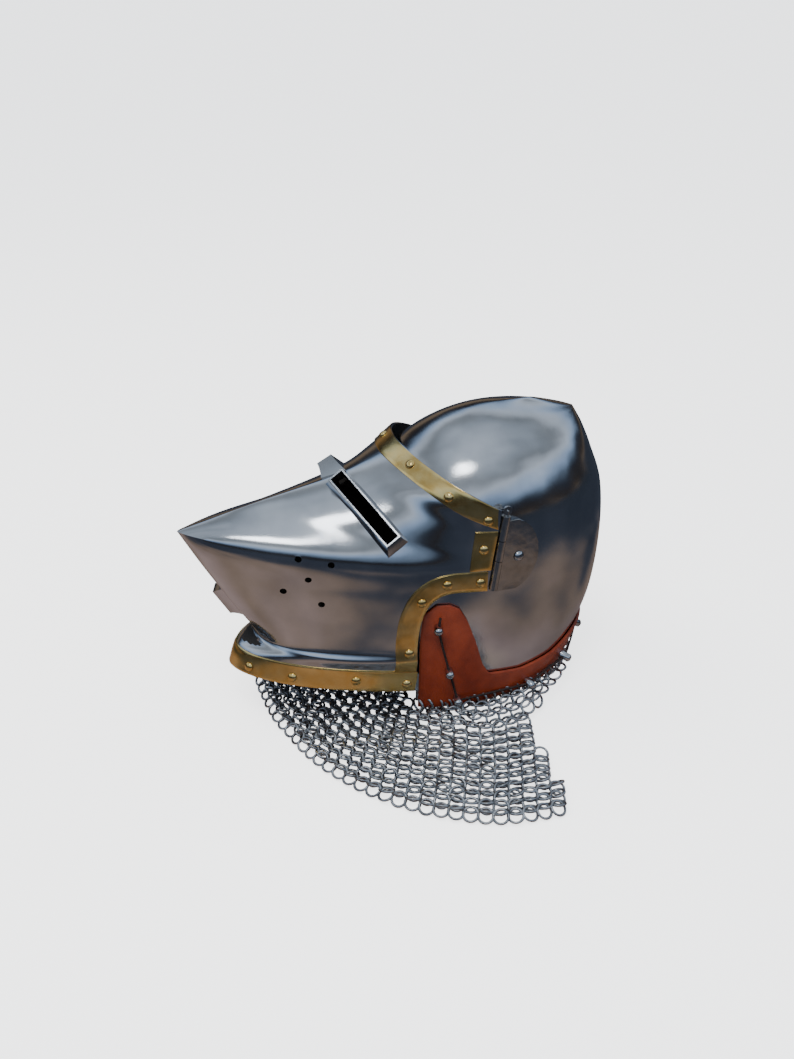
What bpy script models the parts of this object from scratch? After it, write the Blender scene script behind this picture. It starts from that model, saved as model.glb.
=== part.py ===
# Hounskull bascinet with a ring-mail aventail, lying on a flat surface.
# Metres, +Z up, the snout points to -Y and the wearer's left is +X.
# Shapes are worked out as (forward, side, up) from the middle of the visor's pivot axis.

import bisect
import math

import bmesh
import bpy
from mathutils import Matrix, Vector
from mathutils.bvhtree import BVHTree

# Main sizes
PIVOT_HEIGHT = 0.175        # floor to the visor's pivot axis
SNOUT_REACH = 0.297         # pivot axis to the snout's tip
SKULL_BACK = 0.129          # pivot axis to the back of the skull
SKULL_FRONT = 0.140         # pivot axis to the front of the skull's uncut bowl
SKULL_HALF_WIDTH = 0.097
CROWN_RISE = 0.114          # pivot axis to the crown
SKULL_DROP = 0.160          # pivot axis down to the skull's lower edge
FACE_EDGE = 0.092           # pivot axis to the cheek edge of the face opening
SKULL_WALL = 0.0018
VISOR_PLAY = 0.0055          # visor outside the skull at the pivots, to its outer face
VISOR_HALF_WIDTH = SKULL_HALF_WIDTH + VISOR_PLAY
VISOR_RISE = 0.086          # pivot axis up to the brow edge
VISOR_DROP = 0.125          # pivot axis down to the rim at the chin
VISOR_REAR = 0.018          # pivot axis to the rear end of the visor's sides
VISOR_WALL = 0.0016
GAP = 0.0003                # between touching pieces

# Brass trim
STRIP_WIDTH = 0.020
STRIP_THICK = 0.0010
RIVET_RADIUS = 0.0046
RIVET_HEIGHT = 0.0026
BROW_END_UP = 0.5           # ends of the brow strip and top of the hinge strips, shares of VISOR_RISE
HINGE_STRIP_TOP = 0.355

# Openings in the visor
SLOT_WIDTH = 0.0130
SLOT_INNER = (0.488, 0.705) # ends of an eye slot's middle line, as shares of SNOUT_REACH, VISOR_RISE
SLOT_OUTER = (0.380, 0.221)
SLOT_LIP = 0.0070           # flange height over the middle of an eye slot
LIP_WALL = 0.0014
LIP_SPREAD = 0.0055         # how far the flange's foot stands outside the opening
BREATH_HOLE_RADIUS = 0.0030
MOUTH_LEVEL = 5.90          # level and turn of the mouth slot's middle, on the right side
MOUTH_TURN = math.radians(-10)
MOUTH_LENGTH = 0.030
MOUTH_WIDTH = 0.0085
MOUTH_LIP = 0.0125

# Hinges
HINGE_FORWARD = 0.0220      # hinge axis at pivot height
HINGE_LEAN = math.radians(7.8)
HINGE_STANDOFF = 0.0053      # skull's side to the hinge axis
HINGE_SIDE = SKULL_HALF_WIDTH + HINGE_STANDOFF
KNUCKLE_RADIUS = 0.0042
PIN_RADIUS = 0.0020
PIN_PLAY = 0.0003
HINGE_TOP = 0.046
HINGE_BOTTOM = -0.029
KNUCKLE_TOP = 0.021         # upper end of the side plate's knuckle
KNUCKLE_BOTTOM = 0.001
LEAF_THICK = 0.0012
LEAF_REACH = 0.016
PLATE_THICK = 0.0015
PLATE_STANDOFF = 0.0014      # skull's side to the inner face of the side plates
PLATE_SIDE = SKULL_HALF_WIDTH + PLATE_STANDOFF
PLATE_RADIUS = 0.038
PLATE_TOP = 0.038           # ends of the side plate's straight front edge
PLATE_BOTTOM = -0.034
PLATE_MIDDLE = 0.010        # middle of its round rear edge, ahead of the pivot axis
PLATE_ROUNDNESS = 0.80      # depth of the round rear edge, as a share of PLATE_RADIUS
PIVOT_RADIUS = 0.0030
PIVOT_HEAD = 0.0052
PIVOT_FOOT = 0.0012         # thickness of the pivot rivet's inner head
PIN_TAB_RADIUS = 0.0046
PIN_TAB_THICK = 0.0022
PIN_POINT = 0.0015          # pin below the lowest knuckle

# Leather, vervelles and lace
LEATHER_THICK = 0.0030
LEATHER_GAP = 0.0006        # under the leather, whose facets cut across the skull's curve
LEATHER_FRONT = 0.090
LEATHER_OVERHANG = 0.005    # leather below the skull's lower edge
VERVELLE_RADIUS = 0.0042
VERVELLE_HEIGHT = 0.0120
LACE_RADIUS = 0.0012
LACE_PLAY = 0.0004
LACE_HEIGHT = 0.0052        # lace over the leather inside a vervelle
LACE_STEPS = 5              # points of the lace from one vervelle to the next

# Aventail
MAIL_THICK = 0.0040
MAIL_REACH = 0.262          # hem at its widest, from the middle of the neck
MAIL_FALL = 0.045           # run over which the mail falls from the leather to the floor
NECK_FORWARD = 0.020        # middle of the neck, ahead of the pivot axis

MIDDLE = (SNOUT_REACH - SKULL_BACK) / 2

# Visor levels from the brow to the rim's edge. The ridge columns give the medial line, as shares
# of SNOUT_REACH and of VISOR_RISE (above the axis) or VISOR_DROP (below it), the side columns the
# rear end as shares of the same rises and of VISOR_HALF_WIDTH. Fullness 1 is flat, 2 is round.
# name, ridge_reach, ridge_up, side_up, side_width, fullness
VISOR_LEVELS = (
    ("brow", 0.273, 1.000, 0.581, 0.990, 1.90),
    ("over_eyes", 0.377, 0.849, 0.442, 0.995, 1.65),
    ("eyes", 0.505, 0.709, 0.279, 1.000, 1.42),
    ("snout_top", 0.758, 0.535, 0.047, 1.000, 1.28),
    ("tip", 1.000, 0.349, -0.128, 1.000, 1.32),
    ("under_tip", 0.926, -0.104, -0.320, 0.995, 1.42),
    ("snout_under", 0.842, -0.464, -0.520, 0.985, 1.58),
    ("snout_root", 0.785, -0.680, -0.736, 0.968, 1.76),
    ("crook", 0.774, -0.745, -0.848, 0.968, 1.92),
    ("rim_top", 0.840, -0.818, -0.944, 0.972, 1.77),
    ("rim_edge", 0.868, -0.985, -1.120, 0.980, 1.75),
)
TIP_LEVEL = 4
RIM_TOP_LEVEL = 9
RIM_EDGE_LEVEL = 10

# Skull rings from the lower edge to the crown, as shares of SKULL_FRONT, SKULL_BACK,
# SKULL_HALF_WIDTH and of CROWN_RISE (above the axis) or SKULL_DROP (below it).
# name, front, back, width, front_up, back_up, fullness
SKULL_RINGS = (
    ("edge", 0.964, 0.735, 0.979, -1.000, -0.910, 2.20),
    ("neck", 0.986, 0.850, 1.000, -0.765, -0.700, 2.20),
    ("jaw", 1.000, 0.953, 1.005, -0.469, -0.469, 2.20),
    ("ear", 0.940, 1.000, 1.000, -0.125, -0.125, 2.15),
    ("temple", 0.820, 0.977, 0.954, 0.263, 0.263, 2.10),
    ("brow", 0.660, 0.891, 0.825, 0.561, 0.561, 2.05),
    ("dome", 0.445, 0.829, 0.615, 0.803, 0.746, 2.00),
    ("crown", 0.110, 0.783, 0.330, 0.978, 0.851, 1.90),
    ("peak", -0.371, 0.775, 0.052, 1.000, 0.873, 1.80),
)

# Upper part of the face opening in side view, as shares of FACE_EDGE and CROWN_RISE
# forward, up
FACE_TOP = ((1.00, 0.00), (1.06, 0.28), (1.20, 0.40))

# The visor's rear edge below the hinge, in side view, as shares of FACE_EDGE and VISOR_DROP
# forward, up
CHEEK_EDGE = (
    (0.31, -0.245), (0.52, -0.240), (0.70, -0.240), (0.83, -0.270), (0.93, -0.345), (1.00, -0.470),
    (1.035, -0.620), (1.050, -0.780), (1.055, -0.925),
)

# Breath holes of one side, as shares of SNOUT_REACH and VISOR_DROP
# forward, up
BREATH_HOLES = ((0.670, 0.088), (0.576, 0.040), (0.643, -0.088), (0.714, -0.200), (0.606, -0.304))

# Upper edge of the leather, as shares of LEATHER_FRONT, or of SKULL_BACK behind, and SKULL_DROP
# forward, top
LEATHER_EDGE = (
    (-1.00, -0.660), (-0.62, -0.720), (-0.40, -0.785), (-0.10, -0.810), (0.26, -0.790), (0.36, -0.710),
    (0.47, -0.535), (0.58, -0.395), (0.68, -0.310), (0.78, -0.280), (0.90, -0.285), (1.00, -0.355),
)

# Vervelles of one side, as shares of LEATHER_FRONT, or of SKULL_BACK behind, and SKULL_DROP
# forward, up
VERVELLES = ((0.82, -0.423), (0.71, -0.727), (0.62, -0.935), (-0.14, -0.925), (-0.50, -0.870),
             (-0.75, -0.825))

# Hem of one side of the mail: angle from the front in degrees, and shares of MAIL_REACH
# angle, reach
HEM = ((0, 0.800), (20, 0.815), (40, 0.870), (60, 0.935), (78, 0.990), (88, 0.985), (92, 0.800),
       (96, 0.560), (106, 0.480), (125, 0.462), (150, 0.445), (180, 0.470))


def clear_scene():
    for old in list(bpy.data.objects):
        bpy.data.objects.remove(old, do_unlink=True)


def make_collection(name):
    collection = bpy.data.collections.new(name)
    bpy.context.scene.collection.children.link(collection)
    return collection


def place(forward, side, up):
    return Vector((side, MIDDLE - forward, PIVOT_HEIGHT + up))


def material(name, colour, metallic, roughness):
    made = bpy.data.materials.new(name)
    made.use_nodes = True
    shader = made.node_tree.nodes["Principled BSDF"]
    shader.inputs["Base Color"].default_value = (*colour, 1.0)
    shader.inputs["Metallic"].default_value = metallic
    shader.inputs["Roughness"].default_value = roughness
    made.diffuse_color = (*colour, 1.0)
    return made


def smooth_row(rows, position, corner=None):
    # A smooth curve through the rows' numbers, with a corner at one row if asked
    last = len(rows) - 1
    position = min(max(position, 0.0), last - 1e-9)
    index = int(position)
    part = position - index

    def slope(at, after, column):
        if at == corner:
            first = at if after else at - 1
            return rows[first + 1][column] - rows[first][column]
        low, high = max(at - 1, 0), min(at + 1, last)
        return (rows[high][column] - rows[low][column]) / (high - low)

    result = []
    for column in range(len(rows[0])):
        start, end = rows[index][column], rows[index + 1][column]
        out, into = slope(index, True, column), slope(index + 1, False, column)
        cube, square = part ** 3, part ** 2
        result.append((2 * cube - 3 * square + 1) * start + (cube - 2 * square + part) * out
                      + (3 * square - 2 * cube) * end + (cube - square) * into)
    return result


def rise(share, up_size, down_size):
    return share * (up_size if share > 0 else down_size)


def between(table, value):
    # Straight interpolation in a table whose first column grows
    firsts = [row[0] for row in table]
    index = min(max(bisect.bisect_right(firsts, value), 1), len(table) - 1)
    low, high = table[index - 1], table[index]
    part = min(max((value - low[0]) / (high[0] - low[0]), 0.0), 1.0)
    return [a + (b - a) * part for a, b in zip(low, high)]


VISOR_ROWS = [(reach * SNOUT_REACH, rise(up, VISOR_RISE, VISOR_DROP), rise(side_up, VISOR_RISE, VISOR_DROP),
               width * VISOR_HALF_WIDTH, full)
              for name, reach, up, side_up, width, full in VISOR_LEVELS]
SKULL_ROWS = [(front * SKULL_FRONT, back * SKULL_BACK, width * SKULL_HALF_WIDTH,
               rise(front_up, CROWN_RISE, SKULL_DROP), rise(back_up, CROWN_RISE, SKULL_DROP), full)
              for name, front, back, width, front_up, back_up, full in SKULL_RINGS]


def visor_point(level, turn):
    # turn runs from 0 at the medial ridge to a quarter turn at the rear end of the left side
    sharp = smooth_row(VISOR_ROWS, level, TIP_LEVEL)
    soft = smooth_row(VISOR_ROWS, level)
    blend = min(abs(turn) / 0.5, 1.0)
    blend = blend * blend * (3 - 2 * blend)
    reach, ridge_up, side_up, width, full = [a + (b - a) * blend for a, b in zip(sharp, soft)]
    share = max(math.cos(turn), 0.0) ** (2 / full)
    side = math.copysign(width * abs(math.sin(turn)) ** (2 / full), turn)
    return Vector((VISOR_REAR + (reach - VISOR_REAR) * share, side, side_up + (ridge_up - side_up) * share))


def skull_point(ring, turn):
    # turn runs from 0 at the front, over the left side, to half a turn at the back
    front, back, width, front_up, back_up, full = smooth_row(SKULL_ROWS, ring)
    middle, half = (front - back) / 2, (front + back) / 2
    share = math.copysign(abs(math.cos(turn)) ** (2 / full), math.cos(turn))
    side = math.copysign(width * abs(math.sin(turn)) ** (2 / full), math.sin(turn))
    return Vector((middle + half * share, side, back_up + (front_up - back_up) * (share + 1) / 2))


def surface_normal(surface, row, turn):
    step = 1e-4
    along = surface(row + step, turn) - surface(row - step, turn)
    around = surface(row, turn + step) - surface(row, turn - step)
    normal = along.cross(around).normalized()
    return normal if normal.dot(surface(row, turn) - Vector((0, 0, 0))) > 0 else -normal


def visor_at(forward, up):
    # Level and turn of the left side's point with this side-view place
    low, high = 0.0, float(RIM_EDGE_LEVEL)

    def turn_at(level):
        turn_low, turn_high = 0.0, math.pi / 2
        for _ in range(26):
            turn = (turn_low + turn_high) / 2
            if visor_point(level, turn).x > forward:
                turn_low = turn
            else:
                turn_high = turn
        return (turn_low + turn_high) / 2

    for _ in range(26):
        level = (low + high) / 2
        if visor_point(level, turn_at(level)).z > up:
            low = level
        else:
            high = level
    return level, turn_at(level)


def skull_at(turn, up):
    # Ring position on this turn at this height
    low, high = 0.0, 6.0
    for _ in range(26):
        ring = (low + high) / 2
        if skull_point(ring, turn).z < up:
            low = ring
        else:
            high = ring
    return ring


def skull_side(forward, up):
    # Ring and turn of the left side's point with this side-view place
    turn_low, turn_high = 0.0, math.pi
    for _ in range(30):
        turn = (turn_low + turn_high) / 2
        if skull_point(skull_at(turn, up), turn).x > forward:
            turn_low = turn
        else:
            turn_high = turn
    return skull_at(turn, up), turn


def lift(surface, row, turn, height):
    return surface(row, turn) + surface_normal(surface, row, turn) * height


def add_object(name, mesh, collection, finish=None):
    made = bpy.data.objects.new(name, mesh)
    collection.objects.link(made)
    if finish:
        mesh.materials.append(finish)
    return made


def mesh_from_grid(name, grid, closed=False, flip=False):
    # A quad sheet through rows of (forward, side, up) points
    build = bmesh.new()
    rows = [[build.verts.new(place(*point)) for point in row] for row in grid]
    count = len(rows[0])
    for lower, upper in zip(rows, rows[1:]):
        for index in range(count if closed else count - 1):
            after = (index + 1) % count
            corners = [lower[index], lower[after], upper[after], upper[index]]
            build.faces.new(corners[::-1] if flip else corners)
    bmesh.ops.remove_doubles(build, verts=build.verts, dist=1e-5)
    bmesh.ops.dissolve_degenerate(build, edges=build.edges, dist=1e-6)
    mesh = bpy.data.meshes.new(name)
    build.to_mesh(mesh)
    build.free()
    mesh.shade_smooth()
    return mesh


def add_solidify(target, thickness, offset):
    wall = target.modifiers.new("Wall", "SOLIDIFY")
    wall.thickness = thickness
    wall.offset = offset
    wall.use_even_offset = False
    wall.use_quality_normals = True
    return wall


def add_boolean(target, cutter, operation="DIFFERENCE"):
    step = target.modifiers.new(operation.title(), "BOOLEAN")
    step.operation = operation
    step.object = cutter
    return step


def as_cutter(target):
    target.hide_render = True
    target.display_type = "WIRE"
    return target


def prism(name, outline, half_width, collection):
    # A side-view outline of (forward, up) drawn out to both sides
    build = bmesh.new()
    left = [build.verts.new(place(forward, half_width, up)) for forward, up in outline]
    right = [build.verts.new(place(forward, -half_width, up)) for forward, up in outline]
    build.faces.new(left)
    build.faces.new(right[::-1])
    for index in range(len(outline)):
        after = (index + 1) % len(outline)
        build.faces.new((left[after], left[index], right[index], right[after]))
    bmesh.ops.recalc_face_normals(build, faces=build.faces)
    mesh = bpy.data.meshes.new(name)
    build.to_mesh(mesh)
    build.free()
    return as_cutter(add_object(name, mesh, collection))


def tube_between(name, start, end, radius, collection, sides=16):
    axis = end - start
    mesh = bpy.data.meshes.new(name)
    build = bmesh.new()
    bmesh.ops.create_cone(build, cap_ends=True, segments=sides, radius1=radius, radius2=radius,
                          depth=axis.length)
    build.to_mesh(mesh)
    build.free()
    made = add_object(name, mesh, collection)
    made.location = (start + end) / 2
    made.rotation_mode = "QUATERNION"
    made.rotation_quaternion = axis.to_track_quat("Z", "Y")
    return made


def turned(name, profile, sides, collection, finish):
    # A profile of (radius, height), outer side from the top down, turned round Z
    mesh = bpy.data.meshes.new(name)
    mesh.from_pydata([(radius, 0, height) for radius, height in profile],
                     [(index, index + 1) for index in range(len(profile) - 1)], [])
    made = add_object(name, mesh, collection, finish)
    screw = made.modifiers.new("Turn", "SCREW")
    screw.steps = sides
    screw.render_steps = sides
    screw.use_merge_vertices = True
    screw.merge_threshold = 1e-5
    return made


def stand_on(target, foot, normal):
    target.location = foot
    target.rotation_mode = "QUATERNION"
    target.rotation_quaternion = normal.to_track_quat("Z", "Y")


def to_world(direction):
    return Vector((direction.y, -direction.x, direction.z))


def hinge_forward(up):
    return HINGE_FORWARD - up * math.tan(HINGE_LEAN)


def make_skull(parts, cutters, steel):
    columns, rows = 32, 14
    peak = len(SKULL_RINGS) - 1
    grid = [[skull_point(peak * row / rows, 2 * math.pi * column / columns) for column in range(columns)]
            for row in range(rows + 1)]
    grid.append([Vector((point.x, 0.0, point.z)) for point in grid[-1]])
    skull = add_object("skull", mesh_from_grid("skull", grid, closed=True), parts, steel)
    add_solidify(skull, SKULL_WALL, -1.0)
    low, ahead = -1.2 * SKULL_DROP, 1.5 * SKULL_FRONT
    edge = [(forward * FACE_EDGE, up * CROWN_RISE) for forward, up in FACE_TOP]
    outline = [(FACE_EDGE, low)] + edge + [(ahead, edge[-1][1]), (ahead, low)]
    face = prism("face_cut", outline, 1.5 * SKULL_HALF_WIDTH, cutters)
    add_boolean(skull, face)
    bore = tube_between("pivot_bore", place(0, -2 * SKULL_HALF_WIDTH, 0), place(0, 2 * SKULL_HALF_WIDTH, 0),
                        PIVOT_RADIUS + PIN_PLAY, cutters)
    add_boolean(skull, as_cutter(bore))
    return skull


def visor_turns():
    # Columns close together at the ridge and at the rear
    half = [math.radians(angle) for angle in (3, 8, 15, 24, 35, 47, 60, 72, 82, 90)]
    return [-turn for turn in reversed(half)] + [0.0] + half


def visor_rows():
    # Half levels over the face and round the crook, whole ones under the snout and on the rim
    return [step * 0.5 for step in range(2 * TIP_LEVEL + 1)] + [5, 6, 7, 7.5, 8, 8.5, 9, 10]


def slot_frame(inner, outer, side):
    # Middle, long direction and outward direction of an eye slot between two side-view places
    ends = []
    for forward, up in (inner, outer):
        point = visor_point(*visor_at(forward, up))
        ends.append(Vector((point.x, point.y * side, point.z)))
    middle = (ends[0] + ends[1]) / 2
    long_way = (ends[0] - ends[1]).normalized()
    level, turn = visor_at((inner[0] + outer[0]) / 2, (inner[1] + outer[1]) / 2)
    out = surface_normal(visor_point, level, turn)
    out.y *= side
    out = (out - long_way * out.dot(long_way)).normalized()
    return middle, long_way, out, (ends[0] - ends[1]).length


def ring_points(half_length, half_width, grow):
    # A rectangle's outline with extra points along its long sides
    long_half, short_half = half_length + grow, half_width + grow
    steps = [-1, -2 / 3, -1 / 3, 0, 1 / 3, 2 / 3, 1]
    upper = [(step * long_half, short_half) for step in steps]
    lower = [(-step * long_half, -short_half) for step in steps]
    return upper + lower


def flange(name, tree, middle, long_way, out, length, width, lip, cutters):
    # A tapered collar whose foot follows the wall, and the straight cutter of its opening
    across = out.cross(long_way)
    top = max((hit_height(tree, middle, out, (0, 0), long_way, across),
               hit_height(tree, middle, out, (length / 3, 0), long_way, across),
               hit_height(tree, middle, out, (-length / 3, 0), long_way, across))) + lip
    foot, crest = [], []
    for along, over in ring_points(length / 2, width / 2, LIP_SPREAD):
        height = hit_height(tree, middle, out, (along, over), long_way, across) - VISOR_WALL / 2
        foot.append(middle + long_way * along + across * over + out * height)
    for along, over in ring_points(length / 2, width / 2, LIP_WALL):
        crest.append(middle + long_way * along + across * over + out * top)
    build = bmesh.new()
    low = [build.verts.new(place(*point)) for point in foot]
    high = [build.verts.new(place(*point)) for point in crest]
    count = len(low)
    for index in range(count):
        after = (index + 1) % count
        build.faces.new((low[index], low[after], high[after], high[index]))
    build.faces.new(high)
    # The foot is closed by quads across it, because it isn't flat
    for index in range(count // 2 - 1):
        build.faces.new((low[index], low[index + 1], low[count - 2 - index], low[count - 1 - index]))
    bmesh.ops.recalc_face_normals(build, faces=build.faces)
    bmesh.ops.triangulate(build, faces=build.faces)
    mesh = bpy.data.meshes.new(name)
    build.to_mesh(mesh)
    build.free()
    collar = as_cutter(add_object(name, mesh, cutters))
    lowest = min(hit_height(tree, middle, out, (along, 0), long_way, across)
                 for along in (-length / 2, length / 2))
    depth = top - lowest + 4 * VISOR_WALL
    cut = bmesh.new()
    bmesh.ops.create_cube(cut, size=1.0)
    bmesh.ops.scale(cut, verts=cut.verts, vec=(length, width, 2 * depth))
    cut_mesh = bpy.data.meshes.new(name + "_opening")
    cut.to_mesh(cut_mesh)
    cut.free()
    opening = as_cutter(add_object(name + "_opening", cut_mesh, cutters))
    opening.matrix_world = frame_matrix(place(*(middle + out * top)), to_world(long_way), to_world(across),
                                        to_world(out))
    return collar, opening


def frame_matrix(origin, x_axis, y_axis, z_axis):
    turn = Matrix((x_axis, y_axis, z_axis)).transposed().to_4x4()
    return Matrix.Translation(origin) @ turn


def hit_height(tree, middle, out, offset, long_way, across):
    # Height of the wall's outer face over the frame's middle plane
    start = middle + long_way * offset[0] + across * offset[1]
    reach = 0.04
    hit = tree.ray_cast(place(*(start + out * reach)), -to_world(out), 2 * reach)[0]
    if hit is None:
        return 0.0
    return (hit - place(*start)).dot(to_world(out))


def make_visor(parts, cutters, steel):
    grid = [[visor_point(level, turn) for turn in visor_turns()] for level in visor_rows()]
    visor = add_object("visor", mesh_from_grid("visor", grid, flip=True), parts, steel)
    shell = bmesh.new()
    shell.from_mesh(visor.data)
    tree = BVHTree.FromBMesh(shell)
    shell.free()
    add_solidify(visor, VISOR_WALL, -1.0)
    openings = []
    inner, outer = [(forward * SNOUT_REACH, up * VISOR_RISE) for forward, up in (SLOT_INNER, SLOT_OUTER)]
    for word, side in (("left", 1), ("right", -1)):
        middle, long_way, out, length = slot_frame(inner, outer, side)
        collar, opening = flange("eye_flange_" + word, tree, middle, long_way, out, length, SLOT_WIDTH,
                                 SLOT_LIP, cutters)
        add_boolean(visor, collar, "UNION")
        openings.append(opening)
    middle = visor_point(MOUTH_LEVEL, MOUTH_TURN)
    out = surface_normal(visor_point, MOUTH_LEVEL, MOUTH_TURN)
    long_way = visor_point(MOUTH_LEVEL - 0.2, MOUTH_TURN) - visor_point(MOUTH_LEVEL + 0.2, MOUTH_TURN)
    long_way = (long_way - out * long_way.dot(out)).normalized()
    collar, opening = flange("mouth_flange", tree, middle, long_way, out, MOUTH_LENGTH, MOUTH_WIDTH,
                             MOUTH_LIP, cutters)
    add_boolean(visor, collar, "UNION")
    openings.append(opening)
    for opening in openings:
        add_boolean(visor, opening)
    for index, (forward, up) in enumerate(BREATH_HOLES):
        at_forward, at_up = forward * SNOUT_REACH, up * VISOR_DROP
        hole = tube_between("breath_hole_%d" % index, place(at_forward, -0.15, at_up),
                            place(at_forward, 0.15, at_up), BREATH_HOLE_RADIUS, cutters, 10)
        add_boolean(visor, as_cutter(hole))
    add_boolean(visor, prism("cheek_cut", cheek_outline(), 1.5 * VISOR_HALF_WIDTH, cutters))
    return visor


def hinge_edge(up):
    # The visor's rear edge beside the hinge barrel
    return hinge_forward(up) + KNUCKLE_RADIUS + 2 * GAP


def cheek_curve(steps):
    # The cheek edge from the hinge down to the rim, evenly sampled
    rows = [(forward * FACE_EDGE, up * VISOR_DROP) for forward, up in CHEEK_EDGE]
    last = len(rows) - 1
    return [Vector(smooth_row(rows, last * step / steps)) for step in range(steps + 1)]


def cheek_outline():
    edge = [(point.x, point.y) for point in cheek_curve(24)]
    end = edge[-1]
    low = 1.5 * VISOR_DROP
    high = 1.2 * VISOR_RISE
    hinge = [(hinge_edge(edge[0][1]), edge[0][1]), (hinge_edge(high), high)]
    return [(-0.05, high), (-0.05, -low), (end[0], -low)] + edge[::-1][:-1] + hinge


def ribbon(name, pairs, rows, parts, finish, side, height=GAP, thickness=STRIP_THICK):
    # Sheet metal between two side-view edges, laid on or under the visor's left or right side
    grid = []
    for low, high in pairs:
        line = []
        for step in range(rows + 1):
            at = low + (high - low) * step / rows
            level, turn = visor_at(at.x, at.y)
            point = lift(visor_point, level, turn, height)
            line.append(Vector((point.x, point.y * side, point.z)))
        grid.append(line)
    strip = add_object(name, mesh_from_grid(name, grid, flip=side < 0), parts, finish)
    add_solidify(strip, thickness, 1.0)
    return strip


def level_band(name, ends, turns, rows, parts, brass):
    # Brass between two level functions of the turn, wrapped over both sides
    grid = []
    for row in range(rows + 1):
        line = []
        for turn in turns:
            start, end = ends(abs(turn))
            level = start + (end - start) * row / rows
            line.append(lift(visor_point, level, turn, GAP))
        grid.append(line)
    strip = add_object(name, mesh_from_grid(name, grid, flip=True), parts, brass)
    add_solidify(strip, STRIP_THICK, 1.0)
    return strip


def walk_down(turn, start, length):
    # The level that lies this far down the visor from a start level
    level, walked, step = start, 0.0, 0.02
    while walked < length and level < RIM_EDGE_LEVEL - 2 * step:
        walked += (visor_point(level + step, turn) - visor_point(level, turn)).length
        level += step
    return level


def rim_end_turn():
    # Turn at which the rim strip meets the cheek edge
    return visor_at(CHEEK_EDGE[-1][0] * FACE_EDGE + GAP, -VISOR_DROP)[1]


def make_trim(parts, brass):
    brow_end = visor_at(hinge_edge(0.3 * VISOR_RISE) + GAP, BROW_END_UP * VISOR_RISE)[1]
    brow_turns = [brow_end * step / 16 for step in range(-16, 17)]
    level_band("brow_strip", lambda turn: (0.02, walk_down(turn, 0.02, STRIP_WIDTH)), brow_turns, 2,
               parts, brass)
    rim_end = rim_end_turn()
    rim_turns = [rim_end * step / 18 for step in range(-18, 19)]
    level_band("rim_strip", lambda turn: (RIM_TOP_LEVEL, RIM_EDGE_LEVEL - 0.02), rim_turns, 2, parts, brass)
    top_up = HINGE_STRIP_TOP * VISOR_RISE
    foot_up = max(point.y for point in cheek_curve(20)) + STRIP_WIDTH + 4 * GAP
    for word, side in (("left", 1), ("right", -1)):
        pairs = []
        for step in range(5):
            up = top_up + (foot_up - top_up) * step / 4
            rear = hinge_edge(up) + GAP
            pairs.append((Vector((rear, up)), Vector((rear + STRIP_WIDTH, up))))
        ribbon("hinge_strip_" + word, pairs, 2, parts, brass, side)
        ribbon("cheek_strip_" + word, cheek_pairs(foot_up), 2, parts, brass, side)


def cheek_pairs(foot_up):
    # Edge pairs of the cheek strip, from under the hinge strip down to the rim strip
    pairs = []
    curve = cheek_curve(20)
    start = Vector((hinge_edge(curve[0].y) + GAP, curve[0].y + GAP))
    top = Vector((start.x, foot_up - 2 * GAP))
    pairs.append((start, top))
    for index, point in enumerate(curve[1:], 1):
        before, after = curve[index - 1], curve[min(index + 1, len(curve) - 1)]
        along = (after - before).normalized()
        inward = Vector((-along.y, along.x))
        low = point + inward * GAP
        pairs.append((low, low + inward * STRIP_WIDTH))
    limit = rim_top_up() + 2 * GAP
    return [pair for pair in pairs if min(pair[0].y, pair[1].y) > limit]


def rim_top_up():
    return visor_point(RIM_TOP_LEVEL, rim_end_turn()).z


def add_rivet(name, foot, normal, parts, brass):
    profile = [(0.0, RIVET_HEIGHT), (0.65 * RIVET_RADIUS, 0.76 * RIVET_HEIGHT), (RIVET_RADIUS, 0.0),
               (0.0, 0.0)]
    rivet = turned(name, profile, 8, parts, brass)
    stand_on(rivet, place(*foot), to_world(normal))
    return rivet


# Trim rivets of one side in side view: shares of SNOUT_REACH and of VISOR_RISE or VISOR_DROP
# name, forward, up
TRIM_RIVETS = (
    ("brow_front", 0.283, 0.915), ("brow_middle", 0.212, 0.720), ("brow_rear", 0.108, 0.490),
    ("hinge_upper", 0.119, 0.150), ("hinge_foot", 0.128, -0.165), ("cheek_top", 0.232, -0.162),
    ("cheek_turn", 0.309, -0.300), ("cheek_low", 0.350, -0.730), ("rim_corner", 0.358, -1.005),
    ("rim_rear", 0.515, -0.955), ("rim_middle", 0.703, -0.945), ("rim_front", 0.821, -0.925),
)


def make_rivets(parts, brass):
    for name, forward, up in TRIM_RIVETS:
        level, turn = visor_at(forward * SNOUT_REACH, rise(up, VISOR_RISE, VISOR_DROP))
        foot = lift(visor_point, level, turn, 2 * GAP + STRIP_THICK)
        normal = surface_normal(visor_point, level, turn)
        for word, side in (("left", 1), ("right", -1)):
            add_rivet("rivet_%s_%s" % (name, word), (foot.x, foot.y * side, foot.z),
                      Vector((normal.x, normal.y * side, normal.z)), parts, brass)


def knuckle(name, top, bottom, side, cutters):
    start = place(hinge_forward(top), HINGE_SIDE * side, top)
    end = place(hinge_forward(bottom), HINGE_SIDE * side, bottom)
    return as_cutter(tube_between(name, start, end, KNUCKLE_RADIUS, cutters, 12))


def pin_bore(word, side, cutters):
    top, bottom = 2 * HINGE_TOP, 2 * HINGE_BOTTOM
    start = place(hinge_forward(top), HINGE_SIDE * side, top)
    end = place(hinge_forward(bottom), HINGE_SIDE * side, bottom)
    return as_cutter(tube_between("pin_bore_" + word, start, end, PIN_RADIUS + PIN_PLAY, cutters, 10))


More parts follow.
